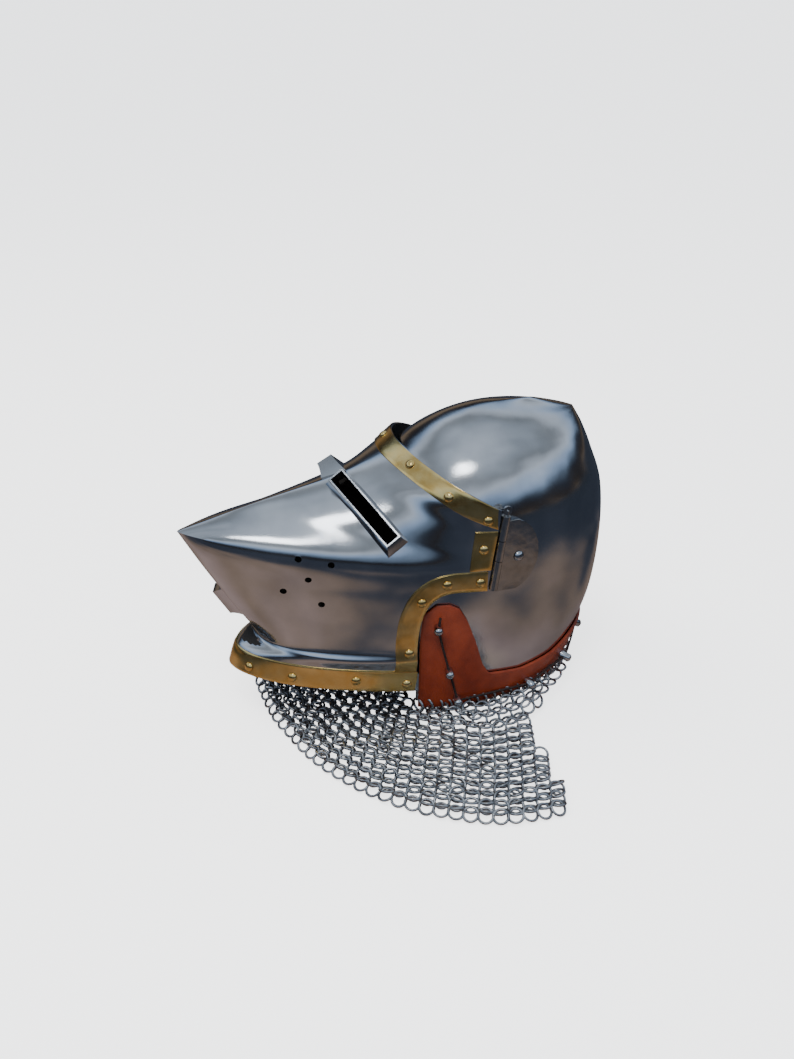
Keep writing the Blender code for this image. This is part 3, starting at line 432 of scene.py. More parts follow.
def prism(name, outline, halfWidth):
    # A side-view outline of (forward, up) drawn out to both sides
    mesh = bpy.data.meshes.new(name)
    mesh.from_pydata([place(forward, 0, up) for forward, up in outline], [], [range(len(outline))])
    made = bpy.data.objects.new(name, mesh)
    bpy.context.scene.collection.objects.link(made)
    addWall(made, 2 * halfWidth, 0.0)
    settle(made)
    return made


def cylinderBetween(name, start, end, radius, sides=32):
    axis = end - start
    deselect()
    bpy.ops.mesh.primitive_cylinder_add(vertices=sides, radius=radius, depth=axis.length)
    made = bpy.context.active_object
    made.name = name
    made.data.transform(Matrix.Translation((start + end) / 2)
                        @ axis.to_track_quat("Z", "Y").to_matrix().to_4x4())
    return made


# Skull: one smooth bowl, open in front and below
skullShape = {"columns": 160, "rows": 72, "boreRadius": 0.0033, "boreHalf": 0.2}
# forward, up, as shares of the face edge and the crown
faceTop = ((1.00, 0.00), (1.06, 0.28), (1.20, 0.40))


def makeSkull():
    lastRing = len(skullRings) - 1
    rows = skullShape["rows"]

    def spot(across, up):
        ring = lastRing * min(up * rows / (rows - 1), 1.0)
        point = skullPoint(ring, 2 * math.pi * across)
        if up > 1 - 0.5 / rows:
            point.y = 0.0
        return point

    bowl = formedSheet("skullPlate", skullShape["columns"], rows, spot)
    weld(bowl)
    outward(bowl, place(0, 0, 0))
    addWall(bowl, helmet["steelWall"], -1.0)
    low, ahead = -1.2 * skull["drop"], 1.5 * skull["front"]
    edge = [(forward * skull["faceEdge"], up * skull["crown"]) for forward, up in faceTop]
    outline = [(skull["faceEdge"], low)] + edge + [(ahead, edge[-1][1]), (ahead, low)]
    face = prism("faceCut", outline, helmet["cutHalfWidth"])
    bore = cylinderBetween("pivotBore", place(0, -skullShape["boreHalf"], 0),
                           place(0, skullShape["boreHalf"], 0), skullShape["boreRadius"])
    addBoolean(bowl, face)
    addBoolean(bowl, bore)
    settle(bowl, (face, bore))
    shade(bowl, plateSteel)
    paintInside(bowl, place(0, 0, -0.02), innerPlate)
    finishPiece(bowl, "helmet", ["skull"])


makeSkull()
print("skull made")


# Hinge and cheek lines that the visor and its trim follow
hinge = {"forward": 0.0220, "lean": math.radians(7.8), "knuckle": 0.0042}
# forward, up, as shares of the face edge and the visor's drop
cheekEdge = (
    (0.31, -0.245), (0.52, -0.240), (0.70, -0.240), (0.83, -0.270), (0.93, -0.345), (1.00, -0.470),
    (1.035, -0.620), (1.050, -0.780), (1.055, -0.925),
)


def hingeEdge(up):
    return hinge["forward"] - up * math.tan(hinge["lean"]) + hinge["knuckle"] + 2 * helmet["gap"]


def cheekCurve(steps):
    rows = [(forward * skull["faceEdge"], up * visor["drop"]) for forward, up in cheekEdge]
    return [Vector(smoothRow(rows, (len(rows) - 1) * step / steps)) for step in range(steps + 1)]


# Visor: the snout with flanged eye slots, a flanged mouth slot and breath holes
visorShape = {
    "columns": 144, "rows": 110, "holeRadius": 0.0030,
    "slotInner": (0.488, 0.705), "slotOuter": (0.380, 0.221), "slotWidth": 0.0130, "slotLip": 0.0070,
    "mouthLevel": 5.90, "mouthTurn": math.radians(-10), "mouthLength": 0.030, "mouthWidth": 0.0085,
    "mouthLip": 0.0125, "lipWall": 0.0014, "lipSpread": 0.0055, "lipFlare": 1.7, "lipLayers": 6,
    "slotDepth": 0.06, "castFrom": 0.04,
}
# forward, up, as shares of the snout's reach and the visor's drop
breathHoles = ((0.670, 0.088), (0.576, 0.040), (0.643, -0.088), (0.714, -0.200), (0.606, -0.304))


def hitHeight(tree, centre, out, offset, longWay, across):
    # Height of the wall's outer face over the frame's middle plane
    start = centre + longWay * offset[0] + across * offset[1]
    cast = visorShape["castFrom"]
    hit = tree.ray_cast(place(*(start + out * cast)), -toWorld(out), 2 * cast)[0]
    return 0.0 if hit is None else (hit - place(*start)).dot(toWorld(out))


def ringPoints(halfLength, halfWidth):
    # Points round an upright slot, evenly spaced along its two long sides
    steps = 12
    shares = [2 * step / steps - 1 for step in range(steps + 1)]
    return ([(share * halfLength, halfWidth) for share in shares]
            + [(-share * halfLength, -halfWidth) for share in shares])


def flange(name, tree, centre, longWay, out, length, width, lip):
    # A collar that flares down to the wall, and the straight cutter of its opening
    across = out.cross(longWay)
    top = lip + max(hitHeight(tree, centre, out, (share * length, 0), longWay, across)
                    for share in (-1 / 3, 0, 1 / 3))
    layers = visorShape["lipLayers"]
    spread = visorShape["lipSpread"] - visorShape["lipWall"]
    build = bmesh.new()
    loops = []
    for layer in range(layers + 1):
        share = layer / layers
        grow = visorShape["lipWall"] + spread * (1 - share) ** visorShape["lipFlare"]
        loop = []
        for along, over in ringPoints(length / 2 + grow, width / 2 + grow):
            wallTop = hitHeight(tree, centre, out, (along, over), longWay, across)
            foot = wallTop - helmet["visorWall"] / 2
            height = foot + (top - foot) * share
            point = centre + longWay * along + across * over + out * height
            loop.append(build.verts.new(place(*point)))
        loops.append(loop)
    count = len(loops[0])
    for lower, upper in zip(loops, loops[1:]):
        for index in range(count):
            after = (index + 1) % count
            build.faces.new((lower[index], lower[after], upper[after], upper[index]))
    for loop in (loops[0], loops[-1]):
        for index in range(count // 2 - 1):
            build.faces.new((loop[index], loop[index + 1],
                             loop[count - 2 - index], loop[count - 1 - index]))
    bmesh.ops.recalc_face_normals(build, faces=build.faces)
    mesh = bpy.data.meshes.new(name)
    build.to_mesh(mesh)
    build.free()
    collar = bpy.data.objects.new(name, mesh)
    bpy.context.scene.collection.objects.link(collar)
    deselect()
    bpy.ops.mesh.primitive_cube_add(size=1.0)
    opening = bpy.context.active_object
    turn = Matrix((toWorld(longWay), toWorld(across), toWorld(out))).transposed().to_4x4()
    opening.matrix_world = (Matrix.Translation(place(*(centre + out * top))) @ turn
                            @ Matrix.Diagonal((length, width, visorShape["slotDepth"], 1.0)))
    return collar, opening


def slotFrame(side):
    # Middle, long direction, outward direction and length of one side's eye slot
    inner, outer = [(forward * helmet["snoutReach"], up * visor["rise"])
                    for forward, up in (visorShape["slotInner"], visorShape["slotOuter"])]
    ends = []
    for forward, up in (inner, outer):
        point = visorPoint(*visorAt(forward, up))
        ends.append(Vector((point.x, point.y * side, point.z)))
    longWay = (ends[0] - ends[1]).normalized()
    level, turn = visorAt((inner[0] + outer[0]) / 2, (inner[1] + outer[1]) / 2)
    out = surfaceNormal(visorPoint, level, turn)
    out.y *= side
    out = (out - longWay * out.dot(longWay)).normalized()
    return (ends[0] + ends[1]) / 2, longWay, out, (ends[0] - ends[1]).length


def makeVisor():
    def spot(across, up):
        return visorPoint(rimEdgeLevel * (1 - up), math.pi * (across - 0.5))

    shell = formedSheet("visorPlate", visorShape["columns"], visorShape["rows"], spot)
    weld(shell)
    outward(shell, place(0.05, 0, 0))
    sheet = bmesh.new()
    sheet.from_mesh(shell.data)
    tree = BVHTree.FromBMesh(sheet)
    sheet.free()
    addWall(shell, helmet["visorWall"], -1.0)
    collars, openings = [], []
    for side in (1, -1):
        centre, longWay, out, length = slotFrame(side)
        collar, opening = flange("eyeCollar", tree, centre, longWay, out, length,
                                 visorShape["slotWidth"], visorShape["slotLip"])
        addBoolean(shell, collar, "UNION")
        collars.append(collar)
        openings.append(opening)
    level, turn = visorShape["mouthLevel"], visorShape["mouthTurn"]
    out = surfaceNormal(visorPoint, level, turn)
    longWay = visorPoint(level - 0.2, turn) - visorPoint(level + 0.2, turn)
    longWay = (longWay - out * longWay.dot(out)).normalized()
    collar, opening = flange("mouthCollar", tree, visorPoint(level, turn), longWay, out,
                             visorShape["mouthLength"], visorShape["mouthWidth"],
                             visorShape["mouthLip"])
    addBoolean(shell, collar, "UNION")
    collars.append(collar)
    openings.append(opening)
    half = helmet["cutHalfWidth"]
    for forward, up in breathHoles:
        forward, up = forward * helmet["snoutReach"], up * visor["drop"]
        openings.append(cylinderBetween("breathHole", place(forward, -half, up),
                                        place(forward, half, up), visorShape["holeRadius"], 20))
    edge = [(point.x, point.y) for point in cheekCurve(48)]
    low, high, behind = -1.5 * visor["drop"], 1.2 * visor["rise"], -0.05
    outline = ([(behind, high), (behind, low), (edge[-1][0], low)] + edge[::-1][:-1]
               + [(hingeEdge(edge[0][1]), edge[0][1]), (hingeEdge(high), high)])
    openings.append(prism("cheekCut", outline, half))
    for opening in openings:
        addBoolean(shell, opening)
    settle(shell, collars + openings)
    shade(shell, plateSteel, 32)
    paintInside(shell, place(0.06, 0, -0.02), innerPlate)
    finishPiece(shell, "visor", ["visor"])


makeVisor()
print("visor made")


# Brass trim; its inset is the part of a level that is left bare along the visor's edges
trim = {"width": 0.020, "thick": 0.0010, "edgeRound": 0.0003, "rows": 5, "inset": 0.02,
        "browEndUp": 0.5, "browEndHinge": 0.3, "hingeTop": 0.355,
        "rivetRadius": 0.0046, "rivetHeight": 0.0026}


def walkDown(turn, start, length):
    # The level that lies this far down the surface from the start
    level, walked, stride, step = start, 0.0, 0.0, 0.02
    while walked < length and level < rimEdgeLevel - 2 * step:
        stride = (visorPoint(level + step, turn) - visorPoint(level, turn)).length
        walked += stride
        level += step
    if walked > length:
        level -= step * (walked - length) / stride
    return level


def finishStrip(strip, node):
    outward(strip, place(0.05, 0, 0))
    addWall(strip, trim["thick"], 1.0)
    addBevel(strip, trim["edgeRound"])
    settle(strip)
    shade(strip, trimBrass, 30)
    finishPiece(strip, "visor", [node])


def makeBands():
    # The brow and rim strips; gives the height of the rim strip's top at its rear end
    browEnd = visorAt(hingeEdge(trim["browEndHinge"] * visor["rise"]) + helmet["gap"],
                      trim["browEndUp"] * visor["rise"])[1]
    rimEnd = visorAt(cheekEdge[-1][0] * skull["faceEdge"] + helmet["gap"], -visor["drop"])[1]
    columns, inset = 96, trim["inset"]
    lows = [walkDown(abs(browEnd * (2 * index / columns - 1)), inset, trim["width"])
            for index in range(columns + 1)]

    def browSpot(across, up):
        level = inset + (lows[round(across * columns)] - inset) * (1 - up)
        return lifted(visorPoint, level, browEnd * (2 * across - 1), helmet["gap"])

    def rimSpot(across, up):
        level = rimTopLevel + (rimEdgeLevel - inset - rimTopLevel) * (1 - up)
        return lifted(visorPoint, level, rimEnd * (2 * across - 1), helmet["gap"])

    finishStrip(formedSheet("browTrim", columns, trim["rows"], browSpot), "brow_strip")
    finishStrip(formedSheet("rimTrim", 128, 10, rimSpot), "rim_strip")
    return visorPoint(rimTopLevel, rimEnd).z


def ribbonSheet(name, pairs):
    # A strip of the visor's surface between pairs of side-view points
    def spot(across, up):
        low, high = pairs[round(across * (len(pairs) - 1))]
        at = low + (high - low) * up
        return lifted(visorPoint, *visorAt(at.x, at.y), helmet["gap"])

    return formedSheet(name, len(pairs) - 1, trim["rows"], spot)


def makeSideStrips(rimUp):
    gap = helmet["gap"]
    topUp = trim["hingeTop"] * visor["rise"]
    curve = cheekCurve(40)
    footUp = max(point.y for point in cheekCurve(20)) + trim["width"] + 4 * gap
    hingePairs, steps = [], 8
    for step in range(steps + 1):
        up = topUp + (footUp - topUp) * step / steps
        rear = hingeEdge(up) + gap
        hingePairs.append((Vector((rear, up)), Vector((rear + trim["width"], up))))
    start = Vector((hingeEdge(curve[0].y) + gap, curve[0].y + gap))
    cheekPairs = [(start, Vector((start.x, footUp - 2 * gap)))]
    for index, point in enumerate(curve[1:], 1):
        along = (curve[min(index + 1, len(curve) - 1)] - curve[index - 1]).normalized()
        inward = Vector((-along.y, along.x))
        low = point + inward * gap
        cheekPairs.append((low, low + inward * trim["width"]))
    cheekPairs = [pair for pair in cheekPairs if min(pair[0].y, pair[1].y) > rimUp + 2 * gap]
    for name, node, pairs in (("hingeTrim", "hinge_strip", hingePairs),
                              ("cheekTrim", "cheek_strip", cheekPairs)):
        left = ribbonSheet(name + "Left", pairs)
        right = mirrored(left, name + "Right")
        finishStrip(left, node + "_left")
        finishStrip(right, node + "_right")


makeSideStrips(makeBands())
print("brass trim made")

# Trim rivets of one side: name, forward as a share of the snout's reach, up as one of the visor's
# rise or drop
trimRivets = (
    ("brow_front", 0.283, 0.915), ("brow_middle", 0.212, 0.720), ("brow_rear", 0.108, 0.490),
    ("hinge_upper", 0.119, 0.150), ("hinge_foot", 0.128, -0.165), ("cheek_top", 0.232, -0.162),
    ("cheek_turn", 0.309, -0.300), ("cheek_low", 0.350, -0.730), ("rim_corner", 0.358, -1.005),
    ("rim_rear", 0.515, -0.955), ("rim_middle", 0.703, -0.945), ("rim_front", 0.821, -0.925),
)


def makeRivets():
    for name, forward, up in trimRivets:
        level, turn = visorAt(forward * helmet["snoutReach"], riseOf(up, visor["rise"], visor["drop"]))
        foot = lifted(visorPoint, level, turn, 2 * helmet["gap"] + trim["thick"])
        normal = surfaceNormal(visorPoint, level, turn)
        for word, side in (("left", 1), ("right", -1)):
            deselect()
            bpy.ops.mesh.primitive_uv_sphere_add(segments=24, ring_count=12, radius=trim["rivetRadius"])
            head = bpy.context.active_object
            head.name = head.data.name = "rivetHead_%s_%s" % (name, word)
            for vertex in head.data.vertices:
                vertex.co.z = max(vertex.co.z, 0.0) * trim["rivetHeight"] / trim["rivetRadius"]
            weld(head)
            stand = toWorld(Vector((normal.x, normal.y * side, normal.z))).to_track_quat("Z", "Y")
            head.data.transform(Matrix.Translation(place(foot.x, foot.y * side, foot.z))
                                @ stand.to_matrix().to_4x4())
            shade(head, trimBrass, 50)
            finishPiece(head, "visor", ["rivet_%s_%s" % (name, word)])


makeRivets()
print("rivets made")

# Leather band round the skull's lower edge
leather = {"thick": 0.0030, "seat": 0.0006, "front": 0.090, "frontUp": -0.8, "overhang": 0.005,
           "columns": 260, "rows": 14, "edgeRound": 0.0009}
# forward, top, as shares of the leather's front, or of the skull's back behind, and the skull's drop
leatherEdge = (
    (-1.00, -0.660), (-0.62, -0.720), (-0.40, -0.785), (-0.10, -0.810), (0.26, -0.790), (0.36, -0.710),
    (0.47, -0.535), (0.58, -0.395), (0.68, -0.310), (0.78, -0.280), (0.90, -0.285), (1.00, -0.355),
)


def leatherFront():
    # The turn at the leather's left front end
    level = leather["frontUp"] * skull["drop"]
    return halved(0.0, math.pi,
                  lambda turn: skullPoint(skullAt(turn, level), turn).x > leather["front"])


def makeLeather():
    tops = [(forward * (leather["front"] if forward > 0 else helmet["skullBack"]), top * skull["drop"])
            for forward, top in leatherEdge]
    first = leatherFront()

    def spot(across, up):
        turn = first + (2 * math.pi - 2 * first) * across
        top = between(tops, skullPoint(1.0, turn).x)[1]
        edge = lifted(skullPoint, 0.0, turn, leather["seat"])
        bottom = edge.z - leather["overhang"]
        height = bottom + (top - bottom) * up
        if height < edge.z:
            return Vector((edge.x, edge.y, height))
        return lifted(skullPoint, skullAt(turn, height), turn, leather["seat"])

    band = formedSheet("leatherBand", leather["columns"], leather["rows"], spot)
    outward(band, place(0, 0, -0.1))
    addWall(band, leather["thick"], 1.0)
    addBevel(band, leather["edgeRound"], 3)
    settle(band)
    shade(band, bandLeather, 50)
    finishPiece(band, "helmet", ["leather_band"])


makeLeather()
print("leather made")


# Kept solids: their points are joined so that they shade smoothly, and they get the finer materials
def dressNode(name, finish, angle):
    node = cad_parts[name]
    node.data.materials.clear()
    node.data.materials.append(finish)
    join = node.modifiers.new("Join", "WELD")
    join.merge_threshold = 1e-5
    node.data.shade_smooth()
    smooth = node.modifiers.new("Round", "EDGE_SPLIT")
    smooth.split_angle = math.radians(angle)


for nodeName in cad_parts:
    if nodeName.startswith(("visor_leaf", "side_plate", "hinge_pin")):
        dressNode(nodeName, hingeSteel, 40)
    elif nodeName.startswith(("pivot_rivet", "vervelle")):
        dressNode(nodeName, plateSteel, 50)
    elif nodeName == "lacing_cord":
        dressNode(nodeName, darkLace, 80)
print("kept nodes dressed")

# Mail: rings in rows that run round the neck, each row leaning against the next
mail = {
    "reach": 0.262, "fall": 0.045, "neckForward": 0.020, "wallThick": 0.0040,
    "liftFrom": math.radians(38), "liftOver": math.radians(22), "seat": 0.0057, "slopeStep": 0.002,
    "ringRadius": 0.0068, "wire": 0.0013, "ringSegments": 20, "wireSegments": 6,
    "rows": 32, "rowStep": 0.0060, "pitch": 0.0132, "samples": 360,
    "lean": math.radians(27), "leanJitter": 0.20, "shake": 0.25, "edgeShare": 0.5,
}
# the rings that hang through the leather
hanging = {"pitch": 0.0085, "up": 0.0022, "upJitter": 0.0006, "samples": 720,
           "lean": (0.35, 0.75), "tilt": (-0.35, 0.1)}
# angle from the front in degrees, reach as a share of the mail's reach
hem = (
    (0, 0.800), (20, 0.815), (40, 0.870), (60, 0.935), (78, 0.990), (90.5, 0.985), (92, 0.900),
    (94, 0.780), (97, 0.560), (106, 0.480), (125, 0.462), (150, 0.445), (180, 0.470),
)
# the same for the line that the rows follow
rowLine = ((0, 0.800), (20, 0.815), (40, 0.870), (60, 0.935), (78, 0.990), (180, 0.990))


def neckRing(angle):
    # Reach and height of the skull's lower edge at this angle from the front, round the neck
    def angleAt(turn):
        point = skullPoint(0.0, turn)
        return math.atan2(point.y, point.x - mail["neckForward"])

    point = skullPoint(0.0, halved(0.0, math.pi, lambda turn: angleAt(turn) < angle))
    reach = Vector((point.x - mail["neckForward"], point.y)).length
    if math.cos(angle) > 0:
        reach = min(reach, (skull["faceEdge"] - mail["neckForward"]) / math.cos(angle))
    return reach, point.z


def mailHeight(angle, reach, neck, edgeUp):
    # Height of the mail's underside over the table: flat in front, hung from the leather behind
    under = (helmet["pivotHeight"] + edgeUp - leather["overhang"] - 2 * leather["seat"]
             - mail["wallThick"])
    drop = min(max(reach - neck, 0.0) / mail["fall"], 1.0)
    climb = min(max((angle - mail["liftFrom"]) / mail["liftOver"], 0.0), 1.0)
    return under * (1 + math.cos(math.pi * drop)) / 2 * climb


def mailRows():
    # Rows of (point, outward direction, whether rings lie there) along the left half
    angles = [math.pi * index / mail["samples"] for index in range(mail["samples"] + 1)]
    margin, step = mail["ringRadius"] * mail["edgeShare"], mail["slopeStep"]
    necks = [neckRing(angle) for angle in angles]
    hems = [mail["reach"] * between(hem, math.degrees(angle))[1] for angle in angles]
    lines = [mail["reach"] * between(rowLine, math.degrees(angle))[1] for angle in angles]
    rows = []
    for row in range(mail["rows"]):
        line = []
        for angle, (neck, edgeUp), rim, start in zip(angles, necks, hems, lines):
            reach = start - mail["ringRadius"] - row * mail["rowStep"]
            inside = neck + margin < reach < rim - margin
            reach = max(reach, neck)
            height = mailHeight(angle, reach, neck, edgeUp) + mail["seat"]
            point = Vector((mail["neckForward"] + reach * math.cos(angle), reach * math.sin(angle),
                            height - helmet["pivotHeight"]))
            rise = mailHeight(angle, reach + step, neck, edgeUp) + mail["seat"] - height
            outwards = Vector((step * math.cos(angle), step * math.sin(angle), rise)).normalized()
            line.append((point, outwards, inside))
        rows.append(line)
    return rows


def ringPlaces(rng):
    # Matrices of the rings in the rows, which lean to and fro by turns
    places = []
    jitter = mail["leanJitter"]
    for row, line in enumerate(mailRows()):
        walked, wanted = 0.0, mail["pitch"] * (0.5 if row % 2 else 0.0)
        for (start, startOut, startIn), (end, endOut, endIn) in zip(line, line[1:]):
            step = (end - start).length
            while step > 0 and walked + step >= wanted:
                part = (wanted - walked) / step
                if startIn and endIn:
                    point = start.lerp(end, part)
                    along = (end - start).normalized()
                    outwards = startOut.lerp(endOut, part)
                    outwards = (outwards - along * outwards.dot(along)).normalized()
                    lean = (mail["lean"] if row % 2 else -mail["lean"]) + rng.uniform(-jitter, jitter)
                    for side in ((1, -1) if point.y > 0.001 else (1,)):
                        flip = Vector((1, side, 1))
                        places.append(ringMatrix(point * flip, along * flip, outwards * flip, lean,
                                                 rng))
                wanted += mail["pitch"]
            walked += step
    return places


def ringMatrix(point, along, outwards, lean, rng):
    xAxis = toWorld(along).normalized()
    yAxis = toWorld(outwards).normalized()
    up = xAxis.cross(yAxis)
    if up.z < 0:
        up = -up
    yAxis = (yAxis * math.cos(lean) + up * math.sin(lean)).normalized()
    turn = Matrix((xAxis, yAxis, xAxis.cross(yAxis))).transposed().to_4x4()
    shake = Matrix.Rotation(rng.uniform(-mail["shake"], mail["shake"]), 4, "Y")
    spin = Matrix.Rotation(rng.uniform(0, 2 * math.pi), 4, "Z")
    return Matrix.Translation(place(*point)) @ turn @ shake @ spin


def hangingPlaces(rng):
    # Matrices of the rings that hang through the leather's lower edge
    places = []
    first = leatherFront()
    walked, last = 0.0, None
    for index in range(hanging["samples"] + 1):
        turn = first + (2 * math.pi - 2 * first) * index / hanging["samples"]
        point = lifted(skullPoint, 0.0, turn, leather["seat"] + leather["thick"] / 2)
        walked += (point - last).length if last else hanging["pitch"]
        if last and walked >= hanging["pitch"]:
            walked = 0.0
            along = Vector((point.x - last.x, point.y - last.y, 0)).normalized()
            out = Vector((along.y, -along.x, 0))
            lean = rng.uniform(*hanging["lean"])
            flat = toWorld(along * math.cos(lean) + out * math.sin(lean))
            steep = (Vector((0, 0, 1)) + toWorld(out) * rng.uniform(*hanging["tilt"])).normalized()
            axis = flat.cross(steep).normalized()
            turned = Matrix((flat, axis.cross(flat), axis)).transposed().to_4x4()
            shift = hanging["up"] + rng.uniform(-hanging["upJitter"], hanging["upJitter"])
            up = point.z - leather["overhang"] + shift
            places.append(Matrix.Translation(place(point.x, point.y, up)) @ turned)
        last = point
    return places


def joinRings(name, places):
    # One mesh of all these rings, copied from one torus
    deselect()
    bpy.ops.mesh.primitive_torus_add(major_radius=mail["ringRadius"], minor_radius=mail["wire"],
                                     major_segments=mail["ringSegments"],
                                     minor_segments=mail["wireSegments"])
    ring = bpy.context.active_object
    points = np.array([(*vertex.co, 1.0) for vertex in ring.data.vertices])
    faces = np.array([face.vertices[:] for face in ring.data.polygons])
    bpy.data.objects.remove(ring, do_unlink=True)
    allPoints = np.concatenate([points @ np.array(matrix).T for matrix in places])[:, :3]
    allFaces = np.concatenate([faces + index * len(points) for index in range(len(places))])
    mesh = bpy.data.meshes.new(name)
    mesh.from_pydata(allPoints.tolist(), [], allFaces.tolist())
    piece = bpy.data.objects.new(name, mesh)
    bpy.context.scene.collection.objects.link(piece)
    mesh.shade_smooth()
    mesh.materials.append(mailSteel)
    return piece


def makeMail():
    rng = random.Random(7)
    places = ringPlaces(rng) + hangingPlaces(rng)
    left = [matrix for matrix in places if matrix.translation.x >= 0]
    right = [matrix for matrix in places if matrix.translation.x < 0]
    for name, group in (("mailLeft", left), ("mailRight", right)):
        finishPiece(joinRings(name, group), "helmet", ["aventail"])
    return len(places)


print("mail made:", makeMail(), "rings")


# Table, sky and light
# mirrored holds the painted reflection: colours the table shows only to the metal, darker further from
# the helmet
floorLook = {
    "size": 60.0, "seen": "#f3f2f0", "glow": 2.2, "patchScale": 4.0, "patchReach": 0.9,
    "mirrored": ((0.45, "#b8a794"), (0.62, "#94807a"), (0.78, "#7d6a5c"), (0.92, "#3b3d45"),
                 (1.00, "#2b2f39")),
}


def makeFloor():
    # Pale painted board, evenly bright to the eye; the steel sees a painted reflection of it instead,
    # warm near the helmet and darker further off
    made, tree, shader = newMaterial("pale_table", 0.0, 0.9)
    path = addNode(tree, "ShaderNodeLightPath")
    where = addNode(tree, "ShaderNodeTexCoord")
    patches = addNode(tree, "ShaderNodeTexNoise", {"Scale": floorLook["patchScale"], "Detail": 3.0},
                      [("Vector", where, "Object")])
    away = addNode(tree, "ShaderNodeVectorMath", operation="LENGTH",
                   links=[("Vector", where, "Object")])
    spread = addNode(tree, "ShaderNodeMath", operation="MULTIPLY_ADD",
                     inputs={1: floorLook["patchReach"]},
                     links=[("Value", patches, "Fac"), (2, away, "Value")])
    # Painted reflection: the table's colour as the metal sees it, darkening with distance and in noise
    # patches
    paintedReflection = setRamp(addNode(tree, "ShaderNodeValToRGB", links=[("Fac", spread, "Value")]),
                     floorLook["mirrored"])
    mix = addNode(tree, "ShaderNodeMix", data_type="RGBA")
    mix.inputs[6].default_value = linear(floorLook["seen"])
    tree.links.new(paintedReflection.outputs["Color"], mix.inputs[7])
    tree.links.new(path.outputs["Is Glossy Ray"], mix.inputs[0])
    tree.links.new(mix.outputs[2], shader.inputs["Base Color"])
    glow = addNode(tree, "ShaderNodeMath", operation="MULTIPLY", inputs={1: floorLook["glow"]},
                   links=[("Value", path, "Is Camera Ray")])
    tree.links.new(glow.outputs[0], shader.inputs["Emission Strength"])
    shader.inputs["Emission Color"].default_value = linear("#ffffff")
    deselect()
    bpy.ops.mesh.primitive_plane_add(size=floorLook["size"], location=(0, 0, 0))
    floor = bpy.context.active_object
    floor.name = "tableTop"
    floor.data.materials.append(made)


# heights in the sky's tone table run from 0 straight down to 1 straight up
skyLook = {
    "wobbleScale": 3.0, "wobble": 0.26, "behind": -0.13, "strength": 1.25,
    "backdrop": "#f6f5f3", "backdropStrength": 2.4,
    "tones": ((0.00, "#8b7c69"), (0.47, "#6f6153"), (0.51, "#322e2c"), (0.60, "#262b36"),
              (0.645, "#6f8096"), (0.69, "#9fb9dd"), (0.78, "#cbd7e6"), (0.86, "#868d95"),
              (0.93, "#a2aebc"), (1.00, "#c4d0df")),
}


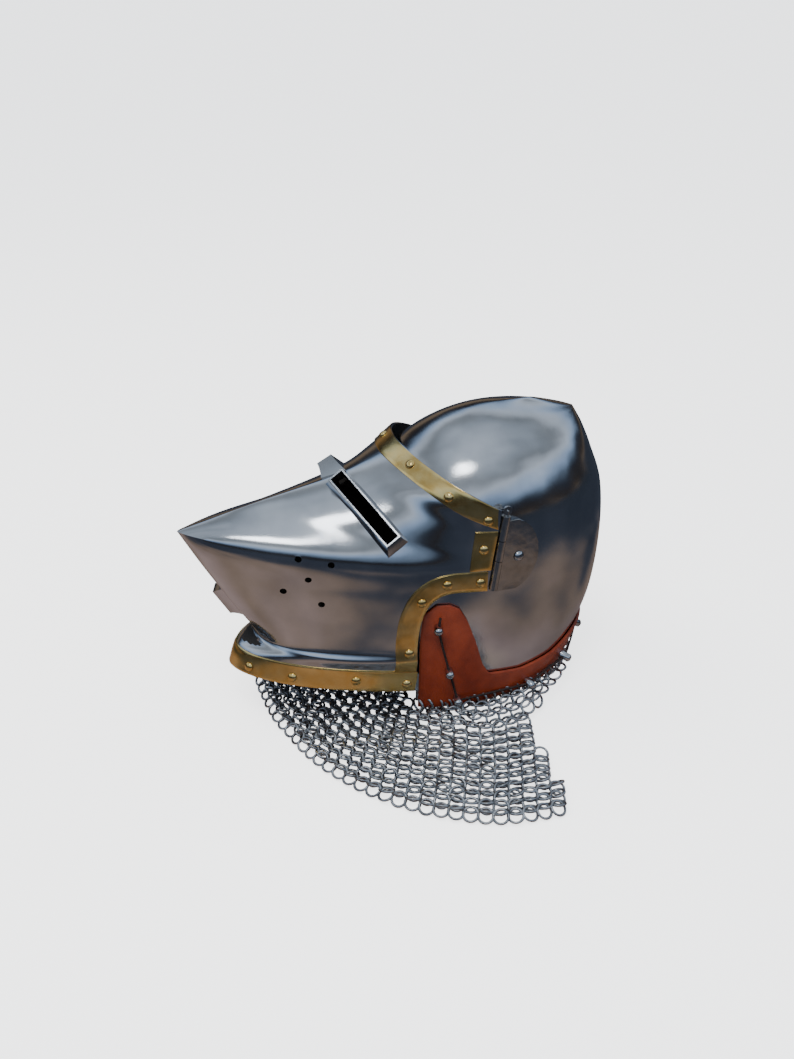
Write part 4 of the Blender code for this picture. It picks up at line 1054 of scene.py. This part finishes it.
def makeSky():
    # Open sky over a dark tree line, seen only in the metal; the camera sees a pale backdrop
    world = bpy.data.worlds.new("openSky")
    bpy.context.scene.world = world
    world.use_nodes = True
    tree = world.node_tree
    tree.nodes.clear()
    where = addNode(tree, "ShaderNodeTexCoord")
    parts = addNode(tree, "ShaderNodeSeparateXYZ", links=[("Vector", where, "Generated")])
    height = addNode(tree, "ShaderNodeMapRange", {"From Min": -1.0, "From Max": 1.0},
                     [("Value", parts, "Z")])
    noise = addNode(tree, "ShaderNodeTexNoise", {"Scale": skyLook["wobbleScale"], "Detail": 3.0},
                    [("Vector", where, "Generated")])
    shift = addNode(tree, "ShaderNodeMath", operation="MULTIPLY_ADD",
                    inputs={1: skyLook["wobble"], 2: -skyLook["wobble"] / 2},
                    links=[("Value", noise, "Fac")])
    total = addNode(tree, "ShaderNodeMath", operation="ADD",
                    links=[(0, height, "Result"), (1, shift, "Value")])
    # The side across from the camera is darker
    behind = addNode(tree, "ShaderNodeMapRange",
                     {"From Min": 0.0, "From Max": -1.0, "To Min": 0.0, "To Max": skyLook["behind"]},
                     [("Value", parts, "X")])
    tone = addNode(tree, "ShaderNodeMath", operation="ADD",
                   links=[(0, total, "Value"), (1, behind, "Result")])
    sky = setRamp(addNode(tree, "ShaderNodeValToRGB", links=[("Fac", tone, "Value")]),
                  skyLook["tones"])
    seen = addNode(tree, "ShaderNodeBackground",
                   {"Color": linear(skyLook["backdrop"]), "Strength": skyLook["backdropStrength"]})
    felt = addNode(tree, "ShaderNodeBackground", {"Strength": skyLook["strength"]},
                   [("Color", sky, "Color")])
    path = addNode(tree, "ShaderNodeLightPath")
    mix = addNode(tree, "ShaderNodeMixShader",
                  links=[(0, path, "Is Camera Ray"), (1, felt, "Background"), (2, seen, "Background")])
    addNode(tree, "ShaderNodeOutputWorld", links=[("Surface", mix, "Shader")])


def makeLight(name, spot, aim, size, power, colour, inMetal):
    lamp = bpy.data.lights.new(name, "AREA")
    lamp.shape = "DISK"
    lamp.size = size
    lamp.energy = power
    lamp.color = linear(colour)[:3]
    made = bpy.data.objects.new(name, lamp)
    bpy.context.scene.collection.objects.link(made)
    made.location = spot
    made.rotation_mode = "QUATERNION"
    made.rotation_quaternion = (Vector(aim) - Vector(spot)).to_track_quat("-Z", "Y")
    made.visible_glossy = inMetal


# name, place, aim, width, power, colour, whether the metal mirrors it
lamps = (
    ("skyWindow", (0.85, -0.60, 2.2), (0, 0, 0.1), 1.4, 30, "#ffffff", False),
    ("cloudGlare", (0.95, -0.55, 2.2), (0, 0, 0.1), 0.6, 7.0, "#f2f6fb", True),
    ("sideGlow", (-0.6, -0.9, 2.0), (0, 0, 0.15), 1.4, 22, "#fff4e6", False),
)
makeFloor()
makeSky()
for lamp in lamps:
    makeLight(*lamp)

# Camera: 20 degrees ahead of the wearer's left and 28 above, with a focal length of 1150 pixels
# on a picture 1059 pixels high
camera = {
    "spot": (0.9359, -0.3404, 0.6977), "look": (-0.8297, 0.3020, -0.4695),
    "up": (-0.4412, 0.1606, 0.8829), "focalPixels": 1150, "pictureHeight": 1059, "sensor": 36,
}
lensData = bpy.data.cameras.new("camera")
lensData.lens = camera["sensor"] * camera["focalPixels"] / camera["pictureHeight"]
cameraObject = bpy.data.objects.new("camera", lensData)
bpy.context.scene.collection.objects.link(cameraObject)
look, lookUp = Vector(camera["look"]).normalized(), Vector(camera["up"]).normalized()
cameraObject.matrix_world = (Matrix.Translation(camera["spot"])
                             @ Matrix((look.cross(lookUp), lookUp, -look)).transposed().to_4x4())
bpy.context.scene.camera = cameraObject
print("stage made")
